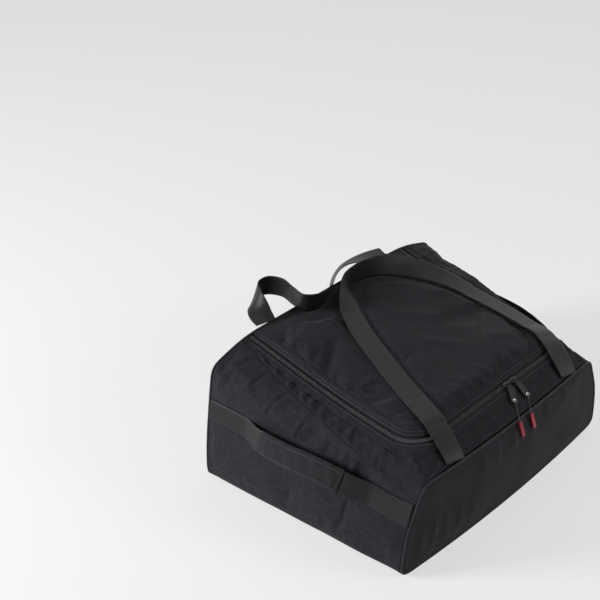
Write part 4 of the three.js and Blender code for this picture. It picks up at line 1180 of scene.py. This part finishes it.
def tube(points, radius, sides, closed=False, up=None):
    """Rings round a line. Each ring stands square to the line; up fixes where it starts."""
    if closed:
        tangent = unit(np.roll(points, -1, 0) - np.roll(points, 1, 0))
    else:
        tangent = unit(np.gradient(points, axis=0))
    up = np.broadcast_to(np.array([1.0, 0, 0]) if up is None else up, points.shape)
    first = unit(up - tangent * (up * tangent).sum(-1, keepdims=True))
    radius = np.broadcast_to(radius, (len(points),))[:, None, None]
    return points[:, None] + full_turn(first, np.cross(tangent, first), sides) * radius


def tube_piece(name, rings, material, closed=False, **facts):
    """A tube with UV along its length and round it; open ends are closed by a point."""
    count, sides = rings.shape[:2]
    run = lengths(rings.mean(1)[:, None], 0)[:, 0]
    around = np.arange(sides)[None, :] / sides * 12
    uv = np.stack(np.broadcast_arrays(run[:, None], around), -1).reshape(-1, 2) / 1000
    points = rings.reshape(-1, 3)
    faces = grid_faces(count, sides, close_rows=closed, close_columns=True).tolist()
    if not closed:
        points = np.vstack([points, rings[0].mean(0), rings[-1].mean(0)])
        uv = np.vstack([uv, uv[:1], uv[-1:]])
        last = (count - 1) * sides
        faces += [[j, (j + 1) % sides, count * sides] for j in range(sides)]
        faces += [[last + j, last + (j + 1) % sides, count * sides + 1] for j in range(sides)]
    return add_piece(name, points, faces, material, uv=uv, **facts)


for name, node, u in (("back_piping_roll", "back_piping", 0.0), ("nose_piping_roll", "nose_piping", 1.0)):
    line = seam_loop(u, PIPING_INSET, PIPING_RADIUS + PIPING_LIFT, 640, 200)
    run = lengths(line[:, None], 0)[:, 0]
    radius = PIPING_RADIUS * (0.965 + 0.035 * np.sin(run / 7.3) * np.sin(run / 19.7 + 1))
    tube_piece(name, tube(line, radius, 10, closed=True), piping_cloth, closed=True,
               replaces=(node,), slot="piping_cloth")
print("piping:", piece_triangles["nose_piping_roll"], "triangles each")

# %% [markdown]
# ## The zip
# Two tapes carry the coil. Each coil is a nylon wire wound in flat turns of 2.2 mm. Six hundred
# turns a side are modelled as one wire with few sides, because at this size only the even rows
# of glints show.

# %% Tapes and coils
TAPE_TOP, TAPE_THICK, TAPE_EDGE = -PANEL - 0.6, 0.9, 0.35
tape_runs = np.linspace(0, ZIP_RUN, 340)
# The tapes' colour carries painted shade from the hems above them.
for name, node, side in (("outer_tape", "zip_tape_outer", 1), ("inner_tape", "zip_tape_inner", -1)):
    reach = side * np.linspace(TAPE_EDGE, TAPE_REACH, 9)
    upper = np.stack([on_track(tape_runs, distance, TAPE_TOP) for distance in reach], 1)
    lower = np.stack([on_track(tape_runs, distance, TAPE_TOP - TAPE_THICK) for distance in reach], 1)
    sheet_piece(name, upper, lower, cloth_uv(upper), tape_cloth_painted_shade, node, "zip_tape")

COIL_PITCH, COIL_STEPS, COIL_WIRE = 2.2, 8, 0.42
COIL_MIDDLE, COIL_HALF_WIDTH, COIL_HALF_HEIGHT, COIL_DROP = 1.95, 1.3, 0.88, 1.35
turns = int(ZIP_RUN / COIL_PITCH)
coil_runs = np.linspace(0.8, ZIP_RUN - 0.8, turns * COIL_STEPS)
# The coil's pale colour is painted highlight standing in for its glints.
for name, node, side in (("outer_coil", "zip_chain_outer", 1), ("inner_coil", "zip_chain_inner", -1)):
    middle = on_track(coil_runs, side * COIL_MIDDLE, CHAIN_TOP - COIL_DROP)
    beyond = on_track(coil_runs, side * (COIL_MIDDLE + 1), CHAIN_TOP - COIL_DROP)
    across = unit(beyond - middle)
    along = unit(np.gradient(middle, axis=0))
    up = unit(np.cross(along, across)) * side
    angle = (np.arange(len(coil_runs)) / COIL_STEPS * math.tau)[:, None]
    wound = middle + across * (COIL_HALF_WIDTH * np.cos(angle)) + up * (COIL_HALF_HEIGHT * np.sin(angle))
    tube_piece(name, tube(wound, COIL_WIRE, 4, up=along), coil, replaces=(node,), slot="zip_coil")
print("coil:", turns, "turns a side,", piece_triangles["outer_coil"], "triangles each")

# %% [markdown]
# ## Stitches
# A row of lockstitch holds each hem to its tape, and the lid has a second row. A stitch is a
# short rounded grain of thread that lies on the cloth, made once and laid along the hem.

# %% Stitch rows
STITCH_SIDES, STITCH_END, STITCH_RISE = 5, 0.15, 0.3
STITCH_PROFILE = ((-0.5, 0.0, 0.25), (-0.36, 0.9, 0.0), (0.0, 1.0, 0.0), (0.36, 0.9, 0.0), (0.5, 0.0, 0.25))


def stitches(name, points, normals, pitch=4.0, length=2.9, radius=0.32):
    """Grains along a line, at equal steps of its length: five rings each.

    A row of the profile is a ring's place along the grain, its radius and how far it is sunk.
    """
    run = lengths(points[:, None], 0)[:, 0]
    places = np.arange(pitch, run[-1] - pitch, pitch)
    pick = lambda values: np.stack([np.interp(places, run, values[:, k]) for k in range(3)], -1)
    centre, up, ahead = pick(points), unit(pick(normals)), unit(pick(np.gradient(points, axis=0)))
    round_grain = full_turn(unit(np.cross(up, ahead)), up, STITCH_SIDES)
    rings = np.stack([
        (centre + ahead * (along * length) + up * (radius * (STITCH_RISE - sink)))[:, None]
        + max(thick, STITCH_END) * radius * round_grain
        for along, thick, sink in STITCH_PROFILE
    ], 1)
    ring_count = len(STITCH_PROFILE)
    first_points = np.arange(len(places))[:, None] * ring_count * STITCH_SIDES
    one = grid_faces(ring_count, STITCH_SIDES, close_columns=True)
    faces = (one + first_points[..., None]).reshape(-1, 4).tolist()
    for ring in (0, ring_count - 1):
        faces += (np.arange(STITCH_SIDES) + ring * STITCH_SIDES + first_points).tolist()
    add_piece(name, rings.reshape(-1, 3), faces, thread, "piping_cloth")


seam_runs = np.linspace(14, ZIP_RUN - 14, 420)
for name, distance, on_lid in (
    ("band_hem_stitches", HEM_REACH + 2.4, False),
    ("lid_hem_stitches", -(HEM_REACH + 2.4), True),
    ("lid_inner_stitches", -(HEM_REACH + 8.5), True),
):
    x, y = beside_track(seam_runs, distance)
    u, s = from_plan(x, y)
    line = raised(u, s, lid_puff(x, y)) if on_lid else raised(u, s)
    stitches(name, line, wrap_normal(u, s))
print("stitches:", piece_triangles["lid_hem_stitches"], "triangles a row")

# %% [markdown]
# ## Webbing
# Webbing is woven flat with a thick edge. A slim rounded section is carried along each line.
# Its width follows the line's own directions, so a loop that stands on its edge stays true.

# %% Webbing section and the loops


def webbing_section(width, thick, count=16):
    """Closed outline of flat webbing: two flat faces with rounded, slightly thicker edges."""
    share = np.linspace(-1, 1, count)
    closing = np.sqrt(np.clip(1 - np.abs(share) ** 60, 0, 1))
    half = thick / 2 * (0.86 + 0.14 * np.abs(share) ** 6) * closing
    upper = np.column_stack([share * width / 2, half])
    lower = np.column_stack([share[::-1] * width / 2, -half[::-1]])
    upper[[0, -1], 1] = thick * 0.22
    lower[[0, -1], 1] = -thick * 0.22
    return np.vstack([upper, lower])


def strip_piece(name, line, section, material, **facts):
    """A closed section carried along frames, with UV in metres along and across."""
    points, across, up = line
    rings = points[:, None] + across[:, None] * section[None, :, :1] + up[:, None] * section[None, :, 1:]
    count, sides = rings.shape[:2]
    run = lengths(points[:, None], 0)[:, 0]
    around = np.broadcast_to(section[None, :, 0], (count, sides))
    uv = np.stack([np.broadcast_to(run[:, None], (count, sides)), around], -1).reshape(-1, 2) / 1000
    faces = grid_faces(count, sides, close_columns=True).tolist()
    faces += [list(range(sides)), [(count - 1) * sides + j for j in range(sides)]]
    add_piece(name, rings.reshape(-1, 3), faces, material, uv=uv, **facts)


section = webbing_section(WEBBING, WEBBING_THICK)
for name, node, line in (
    ("nose_loop", "nose_carry_handle", nose_loop), ("back_loop", "back_carry_handle", back_loop),
):
    strip_piece(name, frames_along(*line[:3]), section, strap, replaces=(node,), slot="webbing")
print("loops:", piece_triangles["nose_loop"], piece_triangles["back_loop"], "triangles")

# %% [markdown]
# ## Side handles
# On each end, webbing runs from the back seam to the nose seam and stands off the panel inside
# a padded sleeve. The sleeve is a stuffed oval with hemmed ends.

# %% Side webbing and grips
GRIP_STANDOFF, GRIP_PADDING, GRIP_THINNING, GRIP_HEM, GRIP_CLEARANCE = 26, 4.4, 0.65, 1.4, 0.55
GRIP_ROW_HALF, GRIP_ROW_RISE, GRIP_ROW_INSET = 20, 4.85, 4


def side_line(far, start, end, count):
    """Line of a side handle at its height on the panel, lifted off it between the run-ups."""
    x = np.linspace(start, end, count)
    u = x / BAG_LENGTH
    s = from_height(u, side_height(x))
    s = 2 * TOP - s if far else s
    rise = ease((x - GRIP_START + GRIP_RUN_UP) / GRIP_RUN_UP) * ease((GRIP_END + GRIP_RUN_UP - x) / GRIP_RUN_UP)
    arch = 0.72 + 0.28 * np.sin(math.pi * np.clip((x - GRIP_START) / (GRIP_END - GRIP_START), 0, 1))
    normal = wrap_normal(u, s)
    lift = WEBBING_LIFT + WEBBING_THICK / 2 + GRIP_STANDOFF * rise * arch
    return wrap_point(u, s) + normal * lift[:, None], normal, 0 * x


def grip_rings(line, sides=44):
    """Outer and inner rings of the sleeve: an oval that is fuller in the middle, hemmed at the ends."""
    points, across, up = frames_along(*line)
    around = np.arange(sides) / sides * math.tau
    share = np.sign(np.cos(around)) * np.abs(np.cos(around)) ** 0.72
    side = np.sign(np.sin(around)) * np.abs(np.sin(around)) ** 0.3
    run = np.linspace(0, 1, len(points))[:, None]
    hem = ease(np.minimum(run, 1 - run) * (GRIP_END - GRIP_START) / 11 - 0.55)
    stuffing = GRIP_PADDING * (1 - GRIP_THINNING * share[None] ** 4) * (0.5 + 0.5 * hem)
    stuffing = stuffing * (1 + 0.10 * np.sin(run * 37 + 2 * share[None]) * hem)
    hollow_width, hollow_half = WEBBING / 2 + GRIP_CLEARANCE, WEBBING_THICK / 2 + GRIP_CLEARANCE

    def ring(width, half):
        return (points[:, None] + across[:, None] * (share * width)[None, :, None]
                + up[:, None] * (side[None] * half)[..., None])

    return ring(hollow_width + GRIP_HEM, hollow_half + stuffing), ring(hollow_width, hollow_half)


for side, far in SIDES:
    start = SEAM_SETBACK + 1
    line = frames_along(*side_line(far, start, BAG_LENGTH - start, 150))
    strip_piece(f"{side}_side_strap", line, section, strap, replaces=(f"{side}_side_webbing",), slot="webbing")
    outer, inner = grip_rings(side_line(far, GRIP_START, GRIP_END, 64))
    grip = sheet_piece(f"{side}_grip_sleeve", outer, inner, cloth_uv(outer), grip_cloth,
                       f"{side}_grip", "grip_cloth", ringed=True)
    sewn_line = side_line(far, GRIP_START + GRIP_ROW_INSET, GRIP_END - GRIP_ROW_INSET, 64)
    points, across, up = frames_along(*sewn_line)
    for edge, sign in (("upper", 1), ("lower", -1)):
        row = points + across * sign * GRIP_ROW_HALF + up * GRIP_ROW_RISE
        stitches(f"{side}_grip_{edge}_stitches", row, up, 4.2, 3.1)
print("grip:", piece_triangles["near_grip_sleeve"], "triangles each")

# %% [markdown]
# ## Sliders, rings, tabs and tags
# The two sliders sit close together at the nose. Slider, tab and tag keep the shape of their solids,
# with their edges rounded: a copy of the solid's mesh is merged and bevelled. Ring, eyelet and
# cord are round things, so they are made again with enough sides.

# %% Rounded copies


def rounded_copy(name, node, material, body, width, segments=3):
    """A merged copy of a solid's mesh with a small bevel on its edges."""
    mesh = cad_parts[node].data.copy()
    mesh.name = name
    joined = bmesh.new()
    joined.from_mesh(mesh)
    bmesh.ops.remove_doubles(joined, verts=joined.verts, dist=2e-6)
    bmesh.ops.dissolve_limit(joined, angle_limit=math.radians(1), verts=joined.verts, edges=joined.edges)
    bmesh.ops.recalc_face_normals(joined, faces=joined.faces)
    joined.to_mesh(mesh)
    joined.free()
    mesh.materials.clear()
    piece = finish_piece(name, mesh, material, (node,), body)
    bevel = piece.modifiers.new("edges", "BEVEL")
    bevel.width, bevel.segments, bevel.limit_method = width, segments, "ANGLE"
    bevel.angle_limit = math.radians(28)
    bevel.harden_normals = True
    return piece


# %% Places on the pulls
SLIDER_CLEARANCE, SLIDER_WALL, BRIDGE_WIDTH, REST_GAP = 0.35, 1.5, 2.2, 0.5
RING, WIRE, RING_PLAY, RING_RISE = 4.0, 0.8, 0.5, 0.4
TAB_LENGTH, TAB_HOLE_INSET, TAB_THICK, EYELET_INSET = 48, 2.8, 2, 6
EYELET_RADIUS, EYELET_BARREL, EYELET_BORE, EYELET_PLAY, EYELET_LIP = 3.7, 2.6, 1.7, 0.3, 0.56
CORD_RADIUS, TAG_AHEAD, TAG_ASIDE, TAG_LEAN, TAG_SLANT = 0.9, 7.5, 23, 0.08, 0.34
SLIDER_BEVEL, TAB_BEVEL, TAG_BEVEL = 0.00028, 0.0005, 0.0009
BAR_HEIGHT = SLIDER_CLEARANCE + SLIDER_WALL + REST_GAP + RING + WIRE - RING_RISE
RING_HANG = RING - WIRE - BRIDGE_WIDTH / 2 - RING_PLAY
TAB_REACH = TAB_LENGTH - TAB_HOLE_INSET
LIP_INNER = TAB_THICK / 2 + EYELET_PLAY
LIP_OUTER = LIP_INNER + EYELET_LIP
ALONG = np.array([0.0, 1, 0])


def pull_places(y, yaw_degrees):
    """Ring centre, tab directions, eyelet centre and cord line, from the slider's place on the zip."""
    u, s = from_plan(ZIP_NOSE_X, y)
    normal = unit(wrap_normal(u, s) * np.array([1, 0, 1]))
    downhill = np.cross(ALONG, normal)
    origin = wrap_point(u, s) + normal * CHAIN_TOP
    ring = origin + downhill * RING_HANG + normal * (BAR_HEIGHT + RING_RISE)
    root = ring + downhill * RING
    yaw = math.radians(yaw_degrees)
    tip = root + TAB_REACH * np.array([math.cos(yaw), math.sin(yaw), 0])
    share = np.arange(0.25, 1.01, 0.125)
    point, up = top_at(blend(root[0], tip[0], share), blend(root[1], tip[1], share))
    lowest = point[:, 2] + (LIP_OUTER + REST_GAP) / up[:, 2]
    tip[2] = (root[2] + (lowest - root[2]) / share).max()
    tab_along = unit(tip - root)
    tab_up = unit(-np.cross(ALONG, tab_along))
    eyelet = root + tab_along * (TAB_REACH - EYELET_INSET)
    tag_top = np.array([seam_x(1.0, y) + TAG_AHEAD, eyelet[1] - TAG_ASIDE, nose_height - 1])
    tag_down = unit(np.array([TAG_LEAN, TAG_SLANT, -1]))

    def over_cloth(part, height):
        plan = blend(eyelet, tag_top, part)
        spot, out = top_at(min(plan[0], seam_x(1.0, y) - SEAM_SETBACK), plan[1])
        lifted = spot + out * height
        return np.array([plan[0], lifted[1], lifted[2]])

    cord = smooth_line([
        eyelet + tab_up * 0.2, eyelet + tab_up * (LIP_OUTER + 1.8) + tab_along * 1.2,
        over_cloth(0.33, 2 * LIP_OUTER + CORD_RADIUS + 1),
        over_cloth(0.68, PIPING_RADIUS + CORD_RADIUS + REST_GAP), tag_top - tag_down * 4, tag_top,
    ], 61)
    return dict(
        ring=ring, downhill=downhill, normal=normal, along=tab_along, up=tab_up, eyelet=eyelet, cord=cord,
    )


def revolved(centre, axis, first, profile, steps=28):
    """Points of a closed profile of radius and height, turned round an axis."""
    out = full_turn(first, np.cross(axis, first), steps)
    return centre + out[:, None] * profile[None, :, :1] + axis[None, None] * profile[None, :, 1:]


# %% Build the pulls
def rounded_profile(corners, roundness, steps=4):
    """Cuts each corner of a closed outline by a smooth quarter-turn between its two sides."""
    corners = np.asarray(corners, float)
    before, after = np.roll(corners, 1, 0), np.roll(corners, -1, 0)
    into = corners + unit(before - corners) * roundness
    out = corners + unit(after - corners) * roundness
    t = np.linspace(0, 1, steps)[None, :, None]
    curve = into[:, None] * (1 - t) ** 2 + 2 * corners[:, None] * t * (1 - t) + out[:, None] * t**2
    return curve.reshape(-1, 2)


for side, (y, yaw) in PULLS.items():
    place = pull_places(y, yaw)
    body = f"{side}_pull"
    rounded_copy(f"{side}_slider_body", f"slider_{side}", lacquer,
                 f"{side}_slider", SLIDER_BEVEL)
    ring_line = place["ring"] + RING * full_turn(place["downhill"], place["normal"], 40)
    tube_piece(f"{side}_ring_wire", tube(ring_line, WIRE, 12, closed=True, up=ALONG), lacquer, closed=True,
               replaces=(f"pull_ring_{side}",), slot="slider_metal", body=body)
    rounded_copy(f"{side}_tab", f"pull_tab_{side}", rubber, body, TAB_BEVEL)
    outline = rounded_profile([
        (EYELET_BORE, -LIP_OUTER), (EYELET_RADIUS, -LIP_OUTER), (EYELET_RADIUS, -LIP_INNER),
        (EYELET_BARREL, -LIP_INNER), (EYELET_BARREL, LIP_INNER), (EYELET_RADIUS, LIP_INNER),
        (EYELET_RADIUS, LIP_OUTER), (EYELET_BORE, LIP_OUTER),
    ], 0.24)
    eyelet = revolved(place["eyelet"], place["up"], place["along"], outline)
    add_piece(f"{side}_eyelet", eyelet.reshape(-1, 3), grid_faces(*eyelet.shape[:2], True, True), steel,
              "eyelet_metal", (f"eyelet_{side}",), body)
    cord_line = place["cord"]
    cord = tube_piece(f"{side}_cord", tube(cord_line, CORD_RADIUS, 10, up=ALONG), cord_nylon,
                      replaces=(f"pull_cord_{side}",), slot="cord_nylon", body=body)
    tag = rounded_copy(f"{side}_tag", f"tag_{side}", red, body, TAG_BEVEL, 4)

# %% [markdown]
# ## Floor and light
# A pale floor carries the shadow. A wide soft lamp stands at the near left, where the end
# panel faces it, a weaker one in front of the nose, and a third above. Camera, mirror and glass
# rays see white round the floor.

# %% Floor
floor_mesh = bpy.data.meshes.new("floor")
FLOOR_HALF, FLOOR_Z = 9, -0.0005
corners = [(x * FLOOR_HALF, y * FLOOR_HALF, FLOOR_Z) for x, y in ((-1, -1), (1, -1), (1, 1), (-1, 1))]
floor_mesh.from_pydata(corners, [], [(0, 1, 2, 3)])
new_object("floor", floor_mesh)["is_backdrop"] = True
material, tree, shader = principled("pale_floor", (0.8, 0.8, 0.8), 0.9, specular=0.1)
glow = tree.nodes.new("ShaderNodeEmission")
glow_share = math_node(tree, "MULTIPLY", direct_rays(tree), 0.6)
mix_into(tree, "Material Output", glow_share, shader.outputs[0], glow.outputs[0])
floor_mesh.materials.append(material)

# %% World and lamps
world = bpy.data.worlds.new("studio")
bpy.context.scene.world = world
world.use_nodes = True
tree = world.node_tree
background = tree.nodes["Background"]
background.inputs["Color"].default_value = (0.95, 0.97, 1, 1)
background.inputs["Strength"].default_value = 0.17
white = tree.nodes.new("ShaderNodeBackground")
white.inputs["Color"].default_value = (1, 1, 1, 1)
mix_into(tree, "World Output", direct_rays(tree), background.outputs[0], white.outputs[0])


def soft_lamp(name, place, target, size, power):
    """A square area lamp that looks from its place at a target."""
    data = bpy.data.lights.new(name, "AREA")
    data.size, data.energy = size, power
    lamp = new_object(name, data)
    away = unit(np.array(place, float) - np.array(target, float))
    side = unit(np.cross([0, 0, 1.0], away))
    place_object(lamp, (side, np.cross(away, side), away), place)


MIDDLE = (0, 0, 0.15)
soft_lamp("key_lamp", (-2.0, -2.8, 1.25), MIDDLE, 1.1, 150)
soft_lamp("nose_lamp", (2.7, 1.4, 1.9), MIDDLE, 1.2, 34)
soft_lamp("top_lamp", (-0.6, 1.4, 3.2), MIDDLE, 1.6, 10)
bpy.context.scene.view_settings.view_transform = "Standard"

dressed_box = [list(corner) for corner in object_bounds()]
print("triangles in all:", sum(piece_triangles.values()))
print("solid box:", np.round(solid_box, 4).tolist())
print("dressed box:", np.round(dressed_box, 4).tolist())
